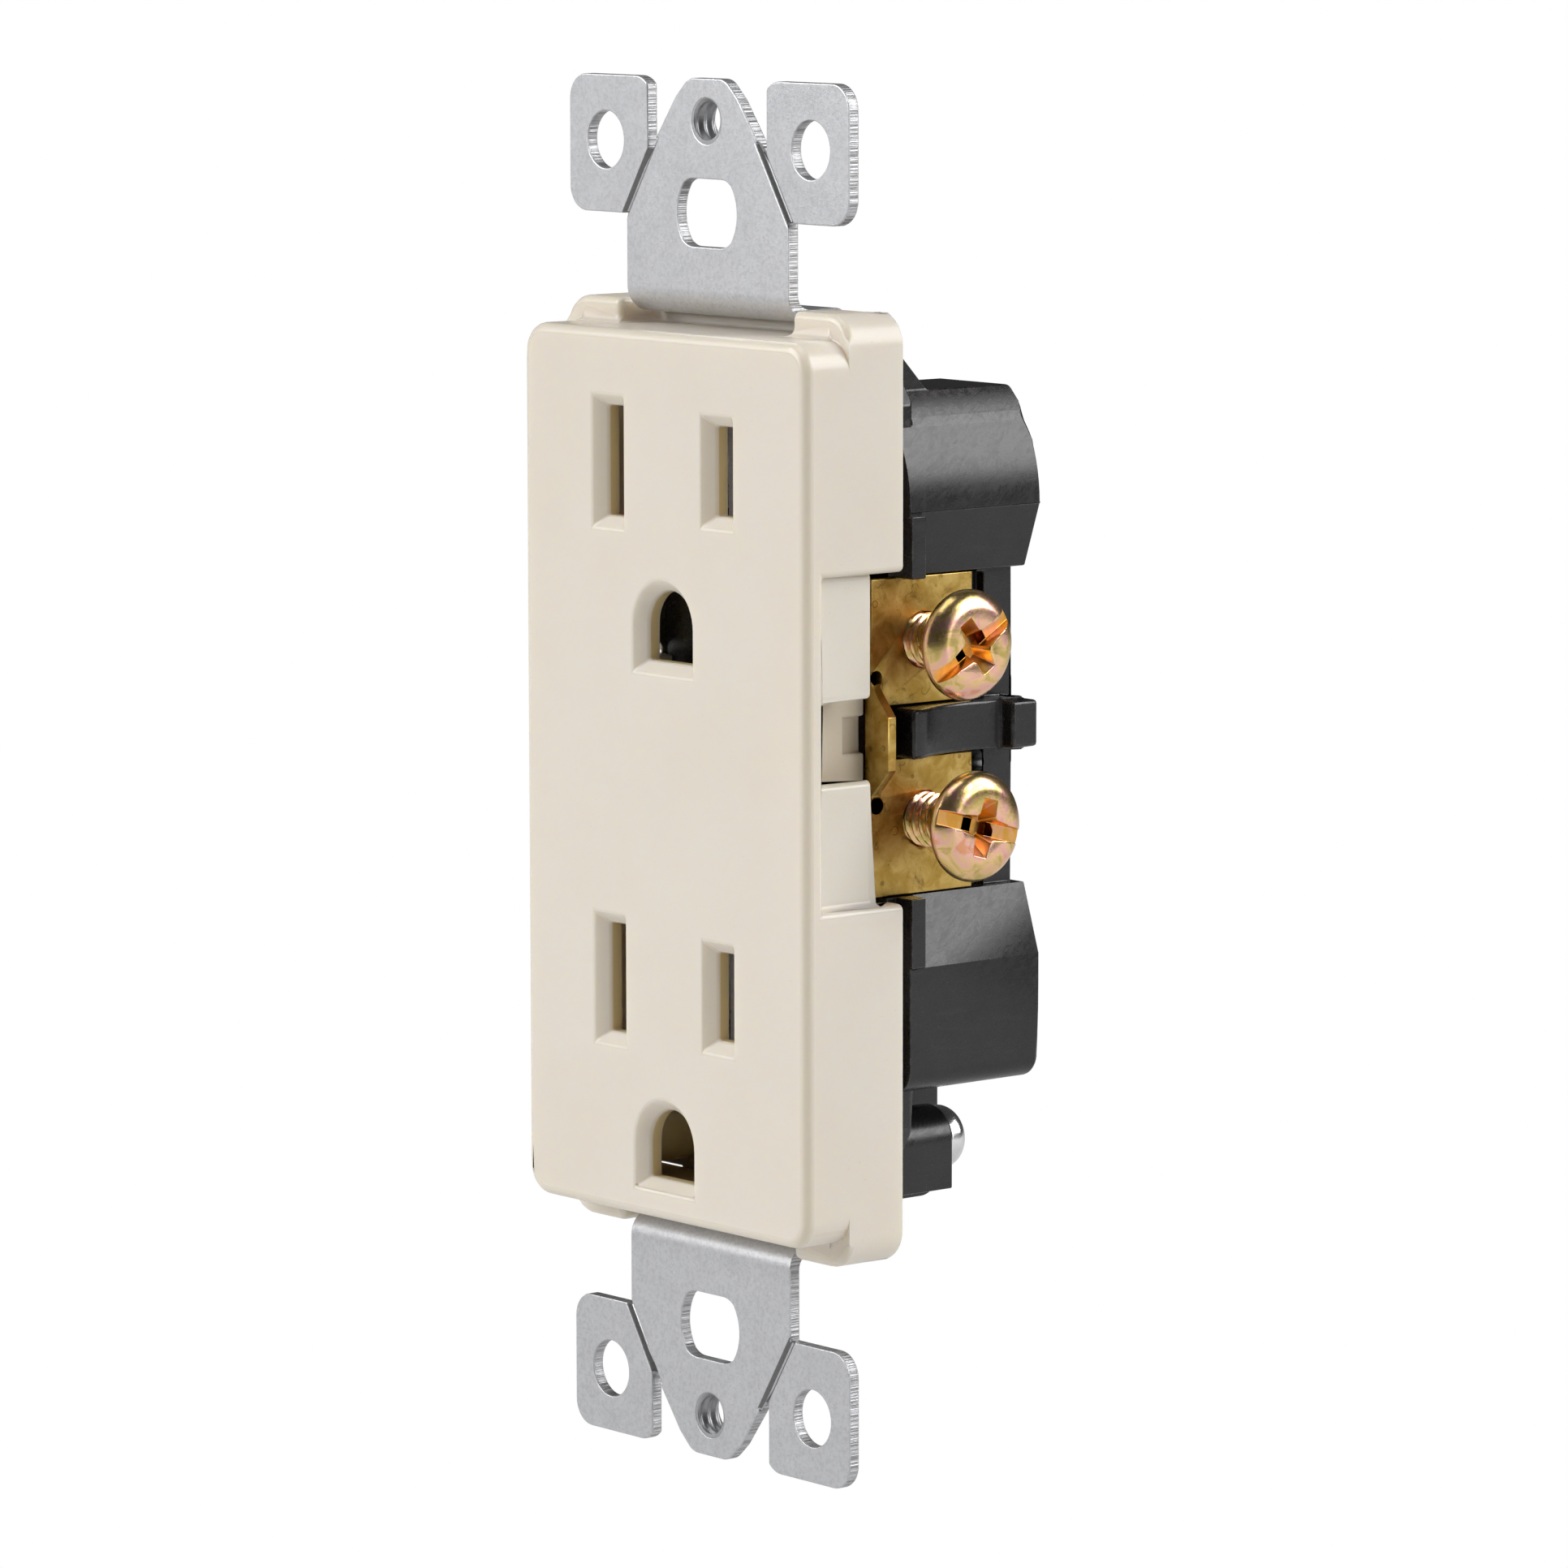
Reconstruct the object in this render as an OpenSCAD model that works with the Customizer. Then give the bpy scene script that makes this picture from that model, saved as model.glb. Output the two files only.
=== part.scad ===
// Duplex wall receptacle in the rectangular "decorator" style, with its steel mounting strap.
// Origin: on the wall plane (rear face of the strap's ears), midway between the two box-screw holes.
// +X towards the hot side, +Y into the wall, +Z up. Millimetres.

/* [Front cover] */
// Width of the face
face_w = 33; // [30:0.5:36]
// Height of the face
face_h = 66.2; // [62:0.1:72]
// How far the face stands in front of the wall plane
face_proud = 5.3; // [4.6:0.1:7]
// How far the cover reaches behind the wall plane
cover_back = 4; // [3.4:0.1:5]
// Corner radius of the face
face_r = 2.2; // [1:0.1:4]
// Thickness of the face and of the cover's walls
cover_wall = 1.8; // [1.2:0.1:2.4]
// How far the shoulders rise past the face's top and bottom edges
shoulder_rise = 1.9; // [1.5:0.1:3]

/* [Outlets] */
// Height of the point midway between the two pairs of blade slots
outlet_mid_z = 3.8; // [0:0.1:5]
// Distance from the upper blade slots to the lower ones
outlet_pitch = 38.8; // [37:0.1:40]
// Distance between the two blade slots of an outlet
blade_pitch = 12.7; // [12.5:0.1:13]
// Width of a blade slot
slot_w = 2; // [1.9:0.1:2.4]
// Height of the hot blade slot
hot_slot_h = 6.6; // [6.5:0.1:7.4]
// Height of the neutral blade slot
neutral_slot_h = 8.2; // [8.1:0.1:8.8]
// Drop from the blade slots to the ground hole
ground_drop = 11.89; // [11.6:0.1:12.2]
// Width of the ground hole
ground_w = 5.3; // [5.2:0.1:5.6]
// Width of the sloping lead-in round each opening
lead_in = 0.9; // [0.4:0.1:1]

/* [Mounting strap] */
// Thickness of the steel
strap_t = 1; // [0.8:0.1:1.3]
// Width of the strap between the ears and the cover
strap_w = 18.8; // [17:0.1:19.2]
// Overall height of the strap
strap_h = 103.1; // [101:0.1:108]
// Width over the plaster ears
ears_w = 32.4; // [30:0.1:36]
// Spacing of the two box-screw holes
box_screw_pitch = 83.34; // [82:0.01:85]
// Spacing of the two wall-plate screw holes
plate_screw_pitch = 96.84; // [96:0.01:98]
// Radius of the tapped wall-plate screw holes
plate_screw_r = 1.7; // [1.4:0.05:1.9]

/* [Rear body] */
// Distance from the wall plane to the backs of the two towers
tower_back = 18.6; // [18:0.1:22]
// Width over the towers
tower_w = 30; // [28.6:0.1:31]
// Thickness of the moulded walls
body_wall = 1.2; // [1:0.1:1.5]

/* [Terminals] */
// Height of the point midway between the terminal screws
terminal_mid_z = 3.9; // [3:0.1:5]
// Distance between the two terminal screws on a side
terminal_pitch = 13.3; // [13:0.1:14]
// Distance from the wall plane to the screw axes
terminal_y = 8.9; // [8.5:0.1:9.5]
// Distance from the centre plane to the terminal plates' outer faces
plate_x = 13.2; // [13:0.1:13.6]
// Thickness of the terminal plates
plate_t = 0.8; // [0.6:0.1:1]
// Radius of a terminal screw's shank
screw_r = 2.05; // [1.7:0.05:2.2]
// Radial clearance between a shank and its tapped hole
screw_clear = 0.05; // [0.02:0.01:0.1]
// Radius of a terminal screw's head
head_r = 4.1; // [3.6:0.1:4.5]
// Height of a terminal screw's head
head_h = 2; // [1.6:0.1:2.4]
// Length of a shank under its head
shank_l = 7.9; // [7:0.1:8]
// Gap under the upper screws' heads, as supplied
upper_gap = 3.9; // [0.1:0.1:5.5]
// Gap under the lower screws' heads, as supplied
lower_gap = 4.8; // [0.1:0.1:5.5]
// Gap under the ground screw's head, as supplied
ground_gap = 1.5; // [0.1:0.1:1.8]

/* [Hidden] */
$fn = 48;

eps = 0.01;
far = 200;
loose = 0.3;                                     // gap between pieces that only sit near each other

// Levels along Y, from the face to the rear
face_y = -face_proud;
bar_y = cover_back;                              // front of the strap's bar, on the cover's rear edge
bar_back = bar_y + strap_t;                      // rear of the bar, on the body's neck
shell_y = bar_back + 0.9;                        // front edge of the body's outer shell
centre_back = tower_back - 0.6;                  // rear of the body between its towers
cavity_back = 14.6;                              // floor of the contact chambers
ground_back = centre_back - body_wall;           // floor of the ground chambers
contact_front = bar_back + 0.2;

// Heights
upper_z = outlet_mid_z + outlet_pitch / 2;
lower_z = outlet_mid_z - outlet_pitch / 2;
shoulder_z = face_h / 2 + shoulder_rise;
shelf_z = shoulder_z - strap_t;                  // underside of the strap's shelf over the cover
bay_half = 12.2;                                 // half height of the terminal bay
bay_top = terminal_mid_z + bay_half;
bay_bottom = terminal_mid_z - bay_half;
upper_screw_z = terminal_mid_z + terminal_pitch / 2;
lower_screw_z = terminal_mid_z - terminal_pitch / 2;
fin_half = 1.85;                                 // half height of the barrier between the screws

shoulder_x = strap_w / 2 + 0.6;                  // inner faces of the shoulders
shell_x = plate_x - plate_t;                     // body's sides behind the terminal plates
tower_x = tower_w / 2;
boss_x = 8;                                      // assembly screws beside the lower ground chamber
boss_r = 2.6;
boss_foot = 3.5;                                 // the lower bosses run straight down this far
boss_z = lower_z - ground_drop - 0.4;
boss_back = 13.9;
top_screw_z = face_h / 2 - 3.1;
chamber_x = 4;                                   // half width of the ground chambers
screw_places = [[0, top_screw_z], [-boss_x, boss_z], [boss_x, boss_z]];
assembly_r = 1.5;
assembly_head_r = 2.4;
plate_back = 13.5;                               // rear edges of the terminal plates
leaf_t = 0.5;                                    // thickness of spring leaves
tine_t = 0.6;
tine_gap = 1.4;                                  // a blade springs the tines apart by 0.1
tab_x = tower_x;                                 // outer face of the ground terminal
ground_screw_z = boss_z;
ground_screw_y = terminal_y;
ground_shank_l = 3.5;
tab_half = 3.4;                                  // half height of the ground terminal's tab
tab_back = 12.4;
bar_top = top_screw_z + 0.6;                     // top of the strap's bar, under its upper bend
pin_way_r = 3.3;                                 // holes in the strap for the ground pins
rivet_r = 1;
rivet_rise = 4.9;                                // rivet above the ground hole
wire_rise = 3;                                   // push-in wire holes above and below the barrier
collar_h = 1.2;                                  // extruded collar of the wall-plate screw holes
box_slot_w = 6.9;                                // box-screw holes: round, with flats above and below
box_slot_h = 5;
ear_hole_x = 11.9;
ear_hole_z = 46.7;
ear_hole_r = 2.15;
ear_low = max(box_screw_pitch / 2 - 0.37, shoulder_z + 2.5); // lower edges of the ears
score_z = ear_low + 4.9;                         // upper end of a score line
shoulder_front = -1.2;
block_front = -3.6;                              // low blocks beside the terminals
block_rear = 1.9;
screw_boss_r = 2.4;                              // bosses in the cover for the assembly screws
rib_x = 9.6;                                     // wall inside the cover, beside the terminals
notch_x = 12.6;                                  // wall at the bottom of the notch in front of the tab
notch_back = 3.5;
notch_half = 3;
lower_crease_z = -13.5;                          // where the lower tower reaches its full width
upper_crease_z = 20.2;                           // where the upper tower starts to curve inwards
tower_top = upper_z + 5.6;
lip_t = 1.4;                                     // lips at the front of the towers
lip_x = tower_x + 0.2;
slot_room = 4.5;                                 // half height of the chambers behind the blade slots

// Extrusions: an X-Z outline along Y, a Y-Z outline along X, and an X-Y outline along Z
module along_y(y0, y1) { translate([0, y1, 0]) rotate([90, 0, 0]) linear_extrude(y1 - y0) children(); }
module along_x(x0, x1) { translate([x0, 0, 0]) rotate([90, 0, 90]) linear_extrude(x1 - x0) children(); }
module along_z(z0, z1) { translate([0, 0, z0]) linear_extrude(z1 - z0) children(); }
module box(lo, hi) { translate(lo) cube(hi - lo); }
module rod_y(x, z, r, y0, y1) { translate([x, y1, z]) rotate([90, 0, 0]) cylinder(r = r, h = y1 - y0); }
module rod_x(y, z, r, x0, x1) { translate([x0, y, z]) rotate([0, 90, 0]) cylinder(r = r, h = x1 - x0); }
module both_sides() { children(); mirror([1, 0, 0]) children(); }
module both_ends() { children(); mirror([0, 0, 1]) children(); }

// Rectangle with round corners
module round_rect(w, h, r) {
    square([w - 2 * r, h], center = true);
    square([w, h - 2 * r], center = true);
    for (x = [-1, 1], y = [-1, 1])
        translate([x * (w / 2 - r), y * (h / 2 - r)]) circle(r);
}

// Straight slot with a sloping lead-in at the face
module slot_cut(x, z, w, h) {
    box([x - w / 2, face_y - eps, z - h / 2], [x + w / 2, cover_back, z + h / 2]);
    intersection() {
        along_z(z - h, z + h) lead_profile(x, w);
        along_x(x - w - lead_in, x + w + lead_in) rotate(90) mirror([0, 1]) lead_profile(z, h);
    }
}

// Section of a lead-in across the face: wide at the face, w wide at its floor
module lead_profile(at, w) {
    polygon([[at - w / 2 - lead_in, face_y - eps], [at + w / 2 + lead_in, face_y - eps],
             [at + w / 2, face_y + lead_in], [at - w / 2, face_y + lead_in]]);
}

// Ground hole: round above, flat below, with the same lead-in
module ground_cut(z) {
    r = ground_w / 2;
    rod_y(0, z, r, face_y - eps, cover_back);
    box([-r, face_y - eps, z - r], [r, cover_back, z]);
    translate([0, face_y + lead_in, z]) rotate([90, 0, 0])
        cylinder(r1 = r, r2 = r + lead_in, h = lead_in + eps);
    intersection() {
        along_z(z - r - lead_in, z) lead_profile(0, ground_w);
        along_x(-far, far) rotate(90) mirror([0, 1]) lead_profile(z, ground_w);
    }
}

// ---------------------------------------------------------------- front cover
module cover_block() {
    along_y(face_y, cover_back) round_rect(face_w, face_h, face_r);
    along_y(shoulder_front, cover_back) difference() {
        round_rect(face_w, 2 * shoulder_z, face_r + 0.3);
        square([2 * shoulder_x, 3 * shoulder_z], center = true);
    }
}

// Outer side wall cut down round the terminals, leaving two low blocks with a notch between them
module cover_bay() {
    low_x = face_w / 2 - 1;
    box([low_x, block_front, bay_bottom], [far, far, bay_top]);
    box([chamber_x, notch_back, bay_bottom], [far, far, bay_top]);
    box([chamber_x, block_rear, bay_bottom], [far, far, terminal_mid_z - notch_half - 1]);
    box([chamber_x, block_rear, terminal_mid_z + notch_half + 1], [far, far, bay_top]);
    box([notch_x, block_rear, terminal_mid_z - notch_half - 1 - eps],
        [far, far, terminal_mid_z + notch_half + 1 + eps]);
    box([notch_x, block_front, terminal_mid_z - notch_half],
        [far, notch_back, terminal_mid_z + notch_half]);
}

module front_cover() color([0.87, 0.83, 0.77]) {
    inner_w = face_w - 2 * cover_wall;
    inner_h = face_h - 2 * cover_wall;
    hole_front = -2;
    pocket_half = 1.35;
    lip_front = 2.4;
    difference() {
        union() {
            difference() {
                cover_block();
                along_y(face_y + cover_wall + 0.2, far) round_rect(inner_w, inner_h, face_r / 2);
            }
            both_sides() {
                box([rib_x, face_y + cover_wall, bay_bottom], [rib_x + 1, block_rear, bay_top]);
                box([rib_x, face_y + cover_wall, terminal_mid_z - notch_half - 1],
                    [notch_x, notch_back, terminal_mid_z + notch_half + 1]);
            }
            both_ends() box([-shoulder_x, lip_front, face_h / 2 - cover_wall],
                            [shoulder_x, cover_back - 0.6, shelf_z - 0.1]);
            for (p = screw_places) rod_y(p[0], p[1], screw_boss_r, face_y + cover_wall, cover_back);
        }
        both_sides() {
            cover_bay();
            box([notch_x - 0.5, notch_back - 2, terminal_mid_z - pocket_half],
                [far, far, terminal_mid_z + pocket_half]);
        }
        for (p = screw_places) rod_y(p[0], p[1], assembly_r + screw_clear, hole_front, far);
        for (z = [upper_z, lower_z]) {
            slot_cut(blade_pitch / 2, z, slot_w, hot_slot_h);
            slot_cut(-blade_pitch / 2, z, slot_w, neutral_slot_h);
            ground_cut(z - ground_drop);
        }
    }
}

// ---------------------------------------------------------------- mounting strap
// Side view of one end: ear plate, bend back over the cover, shelf, bend down to the bar
module strap_side() {
    bend_r = 2 * strap_t;
    turn_r = 1.5 * strap_t;
    translate([-strap_t, shelf_z + bend_r]) square([strap_t, 2.5]);
    intersection() {
        translate([bend_r - strap_t, shelf_z + bend_r]) difference() {
            circle(bend_r);
            circle(bend_r - strap_t);
        }
        translate([-strap_t, shelf_z]) square(bend_r);
    }
    translate([bend_r - strap_t - eps, shelf_z])
        square([bar_back - turn_r - bend_r + strap_t + 2 * eps, strap_t]);
    intersection() {
        translate([bar_back - turn_r, shoulder_z - turn_r]) difference() {
            circle(turn_r);
            circle(turn_r - strap_t);
        }
        translate([bar_back - turn_r, shoulder_z - turn_r]) square(turn_r);
    }
    translate([bar_y, bar_top]) square([strap_t, shoulder_z - turn_r - bar_top + eps]);
}

// Front view of one end above the bend, without its holes
module ear_outline() {
    score_x = 6.55;
    ear_in = score_x + 0.35;
    ear_r = 1.9;
    tip_x = 3.1;
    half = strap_w / 2;
    top = strap_h / 2;
    polygon([[-half, shelf_z + 4], [half, shelf_z + 4], [half, ear_low + 1], [-half, ear_low + 1]]);
    polygon([[-half, ear_low], [half, ear_low], [score_x, score_z], [tip_x + 0.5, top - 1.4],
             [tip_x - 1, top], [1 - tip_x, top], [-tip_x - 0.5, top - 1.4], [-score_x, score_z]]);
    for (s = [-1, 1]) scale([s, 1]) {
        difference() {
            translate([(ears_w / 2 + half - 3) / 2, (ear_low + top) / 2])
                round_rect(ears_w / 2 - half + 3, top - ear_low, ear_r);
            translate([0, ear_low - 1]) square([ear_in - 0.4, 20]);
            polygon([[0, ear_low - 2], [half + 0.35, ear_low - 2], [half + 0.35, ear_low],
                     [ear_in, score_z], [ear_in, top + 1], [0, top + 1]]);
        }
        polygon([[half - 0.2, ear_low], [half + 0.6, ear_low], [ear_in + 0.4, score_z],
                 [ear_in - 0.5, score_z]]);
    }
}

// Break-off groove between the tongue and an ear
module score_groove() {
    rotate([0, 0, 45]) cube([0.5, 0.5, 8], center = true);
}

module ear_plate() {
    plate_z = plate_screw_pitch / 2;
    collar_t = 0.8;
    groove_x = 8.05;
    groove_turn = -32;
    difference() {
        union() {
            along_y(-strap_t, 0) ear_outline();
            rod_y(0, plate_z, plate_screw_r + collar_t, -eps, collar_h);
        }
        along_y(-far, far) translate([0, box_screw_pitch / 2]) intersection() {
            circle(box_slot_w / 2);
            round_rect(box_slot_w, box_slot_h, 1.9);
        }
        rod_y(0, plate_z, plate_screw_r, -far, far);
        for (s = [-1, 1]) {
            rod_y(s * ear_hole_x, ear_hole_z, ear_hole_r, -far, far);
            translate([s * groove_x, -strap_t, (ear_low + score_z) / 2]) rotate([0, s * groove_turn, 0])
                score_groove();
        }
    }
}

// Bar between the cover and the body, seen from the front
module bar_outline() {
    narrow = 7.2;
    wide = 10;
    head = 2.6;
    translate([-strap_w / 2, bar_top - head]) square([strap_w, head + 0.5]);
    translate([-narrow / 2, -bar_top]) square([narrow, 2 * bar_top]);
    translate([-wide / 2, upper_z - ground_drop - 4.8]) square([wide, 11.4]);
    translate([-strap_w / 2, -bar_top - eps]) square([strap_w, bar_top + boss_z + 3.6]);
    translate([-tab_x, boss_z - tab_half]) square([tab_x, 2 * tab_half]);
}

module mounting_strap() color([0.66, 0.67, 0.68]) difference() {
    union() {
        both_ends() {
            ear_plate();
            along_x(-strap_w / 2, strap_w / 2) strap_side();
        }
        along_y(bar_y, bar_back) bar_outline();
        box([-tab_x, bar_y, boss_z - tab_half], [strap_t - tab_x, tab_back, boss_z + tab_half]);
    }
    for (z = [upper_z, lower_z]) {
        rod_y(0, z - ground_drop, pin_way_r, bar_y - eps, bar_back + eps);
        rod_y(0, z - ground_drop + rivet_rise, rivet_r + 0.02, bar_y - eps, bar_back + eps);
    }
    for (p = screw_places)
        rod_y(p[0], p[1], assembly_r + screw_clear, bar_y - eps, bar_back + eps);
    rod_x(ground_screw_y, ground_screw_z, screw_r + screw_clear, -tab_x - eps, strap_t - tab_x + eps);
}

// ---------------------------------------------------------------- rear body
// Front view of the upper tower on the hot side; its outer wall curves in towards the top
module upper_tower_outline() {
    curve_r = 12.3;
    low = bay_top - 0.7;
    intersection() {
        translate([tower_x - curve_r, upper_crease_z]) circle(curve_r, $fn = 96);
        translate([chamber_x, upper_crease_z]) square([tower_x, tower_top - upper_crease_z]);
    }
    polygon([[chamber_x, low], [shell_x + 0.9, low], [tower_x, upper_crease_z + eps],
             [chamber_x, upper_crease_z + eps]]);
}

module lower_tower_outline() {
    bottom = lower_z - 7.3;
    round_r = 1.8;
    polygon([[chamber_x, bay_bottom], [shell_x + 0.9, bay_bottom], [tower_x, lower_crease_z],
             [tower_x, bottom + round_r], [tower_x - round_r, bottom], [chamber_x, bottom]]);
    translate([tower_x - round_r, bottom + round_r]) circle(round_r);
}

// Base of the body behind the strap, narrow where the terminal plates lie against it
module body_base_outline() {
    side = shell_x + 1;
    end_z = face_h / 2 - 1.2;
    translate([-shell_x, bay_bottom]) square([2 * shell_x, bay_top - bay_bottom]);
    polygon([[-side, bay_top], [side, bay_top], [side, end_z - 4], [side - 3, end_z], [3 - side, end_z],
             [-side, end_z - 4]]);
    polygon([[-side, bay_bottom], [side, bay_bottom], [side, -25.8], [side - 3, -30.5], [side - 3, -end_z],
             [3 - side, -end_z], [3 - side, -23.4], [-side, -23.4]]);
}

module body_shell() {
    along_y(bar_back, 7.6) body_base_outline();
    both_sides() {
        along_y(shell_y, tower_back) upper_tower_outline();
        along_y(shell_y, tower_back) lower_tower_outline();
        box([shell_x, shell_y, bay_top - 0.8], [lip_x, shell_y + lip_t, upper_crease_z - 0.3]);
        box([shell_x, shell_y, lower_crease_z], [lip_x, shell_y + lip_t, bay_bottom]);
        barrier();
        along_x(shell_x - 2.1, shell_x - 0.9) polygon([
            [bar_back, tower_top - 0.8], [bar_back, bar_top + 1.9], [bar_back + 2, bar_top + 1.9],
            [bar_back + 6, tower_top - 0.5]]);
    }
    box([-shell_x, bar_back, bay_bottom - 1], [shell_x, centre_back, bay_top + 1]);
    box([-chamber_x - 1, bar_back, lower_z - 7.4], [chamber_x + 1, cavity_back + body_wall, tower_top]);
    for (z = [upper_z, lower_z]) ground_housing(z - ground_drop);
    for (x = [-boss_x, boss_x]) along_y(bar_back, boss_back) {
        translate([x, boss_z]) circle(boss_r);
        translate([x - boss_r, boss_z - boss_foot]) square([2 * boss_r, boss_foot]);
    }
    rod_y(0, top_screw_z, boss_r, bar_back, boss_back);
}

module ground_housing(z) {
    corner_r = 1.6;
    low = z - 5.7;
    high = 13.2;
    along_x(-chamber_x - 0.2, chamber_x + 0.2) {
        translate([bar_back, low]) square([centre_back - corner_r - bar_back, high]);
        translate([bar_back, low + corner_r]) square([centre_back - bar_back, high - corner_r]);
        translate([centre_back - corner_r, low + corner_r]) circle(corner_r);
    }
}

// Barrier between the two terminal screws, with a block at its rear end
module barrier() {
    fin_x = 15.4;
    fin_low = 13.9;
    block_x = 15.6;
    block_half = 1.75;
    saddle_r = 11.2;
    difference() {
        box([shell_x - eps, bar_back + 0.9, terminal_mid_z - fin_half],
            [fin_x, tower_back - 1.6, terminal_mid_z + fin_half]);
        translate([fin_low + saddle_r, terminal_y + 3.6, 0]) along_z(-far, far)
            circle(saddle_r, $fn = 96);
    }
    box([shell_x - eps, tower_back - 3.2, terminal_mid_z - block_half],
        [block_x, tower_back - 0.7, terminal_mid_z + block_half]);
}

module body_hollows() {
    room_x = blade_pitch / 2 - tine_gap / 2 - tine_t - 0.35;
    step_x = shell_x - 0.8;
    step_y = plate_back + 0.3;
    room = chamber_x - 0.6;
    both_sides() {
        for (z = [upper_z, lower_z])
            box([room_x, bar_back - eps, z - slot_room], [shell_x - 1.2, cavity_back, z + slot_room]);
        // room for the cross pieces that join the terminal plates to the blade contacts
        box([room_x, bar_back - eps, bay_top - 2.4], [shell_x + 2 * eps, cavity_back, upper_z - 4]);
        box([room_x, bar_back - eps, lower_z + 4], [shell_x + 2 * eps, cavity_back, bay_bottom + 2.4]);
        for (z = [upper_screw_z, lower_screw_z])
            rod_x(terminal_y, z, screw_r + loose, shell_x - shank_l, shell_x + eps);
        for (s = [-1, 1]) wire_way(terminal_mid_z + s * wire_rise);
        // shallow steps behind the terminal plates
        box([step_x, step_y, bay_bottom], [shell_x + eps, step_y + 1.5, terminal_mid_z - fin_half]);
        box([step_x, step_y, terminal_mid_z + fin_half], [shell_x + eps, step_y + 1.5, bay_top - 1]);
    }
    for (z = [upper_z, lower_z])
        box([-room, bar_back - eps, z - ground_drop - 4.4], [room, ground_back, z - ground_drop + 6.7]);
    for (p = screw_places) {
        rod_y(p[0], p[1], assembly_r + screw_clear, bar_back - eps, far);
        rod_y(p[0], p[1], assembly_head_r + loose, boss_back, far);
    }
}

// Push-in wire hole, release slot and the chamber of the wire clamp behind a terminal plate
module wire_way(z) {
    half = 0.85;
    hole_r = 0.95;
    in_x = shell_x - 3.2;
    box([in_x, bar_back + 0.4, z - half], [shell_x + eps, cavity_back + 0.4, z + half]);
    rod_y(shell_x - 1, z, hole_r, cavity_back, far);
    box([in_x + 0.1, cavity_back, z - half], [in_x + 1, far, z + half]);
}

module rear_body() color([0.14, 0.14, 0.15]) difference() {
    body_shell();
    body_hollows();
}

// ---------------------------------------------------------------- current-carrying pieces
// Terminal plates, the break-off tab between them and a pair of blade contacts for each outlet
module contact(tine_h) {
    front = 3.7;
    back = plate_back;
    in_x = blade_pitch / 2 - tine_gap / 2 - tine_t;
    web_y = back - plate_t;
    split = fin_half + 0.15;
    tab_out = 15.1;
    tab_z = terminal_mid_z - 0.6;
    difference() {
        union() {
            box([shell_x, front, terminal_mid_z + split], [plate_x, back, bay_top - 0.8]);
            box([shell_x, front, bay_bottom + 0.1], [plate_x, back, terminal_mid_z - split]);
            // break-off tab, bent outwards
            along_y(front, front + plate_t) polygon([
                [shell_x, tab_z - 4], [plate_x, tab_z - 4], [tab_out, tab_z - 2],
                [tab_out, tab_z + 2], [plate_x, tab_z + 4.2], [shell_x, tab_z + 4.2]]);
            // cross pieces and the webs behind the blade contacts
            box([in_x, web_y, bay_top - 2.2], [shell_x + eps, back, upper_z - 4.2]);
            box([in_x, web_y, lower_z + 4.2], [shell_x + eps, back, bay_bottom + 2.2]);
            for (z = [upper_z, lower_z], s = [-1, 1]) {
                x = blade_pitch / 2 + s * (tine_gap + tine_t) / 2;
                box([x - tine_t / 2, contact_front, z - tine_h / 2], [x + tine_t / 2, back, z + tine_h / 2]);
                box([in_x, web_y, z - 4.3], [in_x + tine_gap + 2 * tine_t, back, z + tine_h / 2]);
            }
            box([in_x, web_y, lower_z], [in_x + tine_gap + 2 * tine_t, back, lower_z + 4.4]);
        }
        for (z = [upper_screw_z, lower_screw_z])
            rod_x(terminal_y, z, screw_r + screw_clear, shell_x - eps, plate_x + eps);
        // notches that weaken the ends of the tab
        for (s = [-1, 1])
            rod_x(front + 0.5, tab_z + s * 4.7, 0.55, shell_x - eps, plate_x + eps);
    }
}

module hot_contact() color([0.74, 0.6, 0.32]) contact(7.2);
module neutral_contact() color([0.72, 0.71, 0.68]) mirror([1, 0, 0]) contact(8);

// Screw with its head's underside at x = 0 and its shank towards -X
module terminal_screw(length, rim = head_r) {
    edge = 0.7;
    difference() {
        union() {
            translate([-length, 0, 0]) rotate([0, 90, 0]) cylinder(r = screw_r, h = length + eps);
            rotate([0, 90, 0]) cylinder(r = rim, h = head_h - edge);
            translate([head_h - edge - eps, 0, 0]) rotate([0, 90, 0])
                cylinder(r1 = rim, r2 = rim - 1.2, h = edge);
        }
        translate([head_h, 0, 0]) cube([1.8, 1.1, 2 * rim + 1], center = true);
        for (a = [0, 90]) rotate([a, 0, 0]) translate([head_h, 0, 0]) cube([2.6, 1, 3.6], center = true);
    }
}

module side_screw(z, gap, turn) {
    translate([plate_x + gap, terminal_y, z]) rotate([turn, 0, 0]) terminal_screw(shank_l);
}

module hot_screw_upper() color([0.85, 0.66, 0.42]) side_screw(upper_screw_z, upper_gap, -58);
module hot_screw_lower() color([0.85, 0.66, 0.42]) side_screw(lower_screw_z, lower_gap, -105.5);
module neutral_screw_upper() color("silver") mirror([1, 0, 0]) side_screw(upper_screw_z, upper_gap, -58);
module neutral_screw_lower() color("silver") mirror([1, 0, 0]) side_screw(lower_screw_z, lower_gap, -105.5);

// Hexagonal green screw in the strap's side tab
module ground_screw() color([0.2, 0.5, 0.25])
    translate([-tab_x - ground_gap, ground_screw_y, ground_screw_z]) mirror([1, 0, 0]) difference() {
        union() {
            translate([-ground_shank_l, 0, 0]) rotate([0, 90, 0]) cylinder(r = screw_r, h = ground_shank_l);
            rotate([0, 90, 0]) cylinder(r = head_r, h = 0.7);
            translate([0.6, 0, 0]) rotate([0, 90, 0]) cylinder(r = 3.9, h = 1.9, $fn = 6);
        }
        translate([2.5, 0, 0]) cube([1.8, 1.1, 9], center = true);
    }

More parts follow.
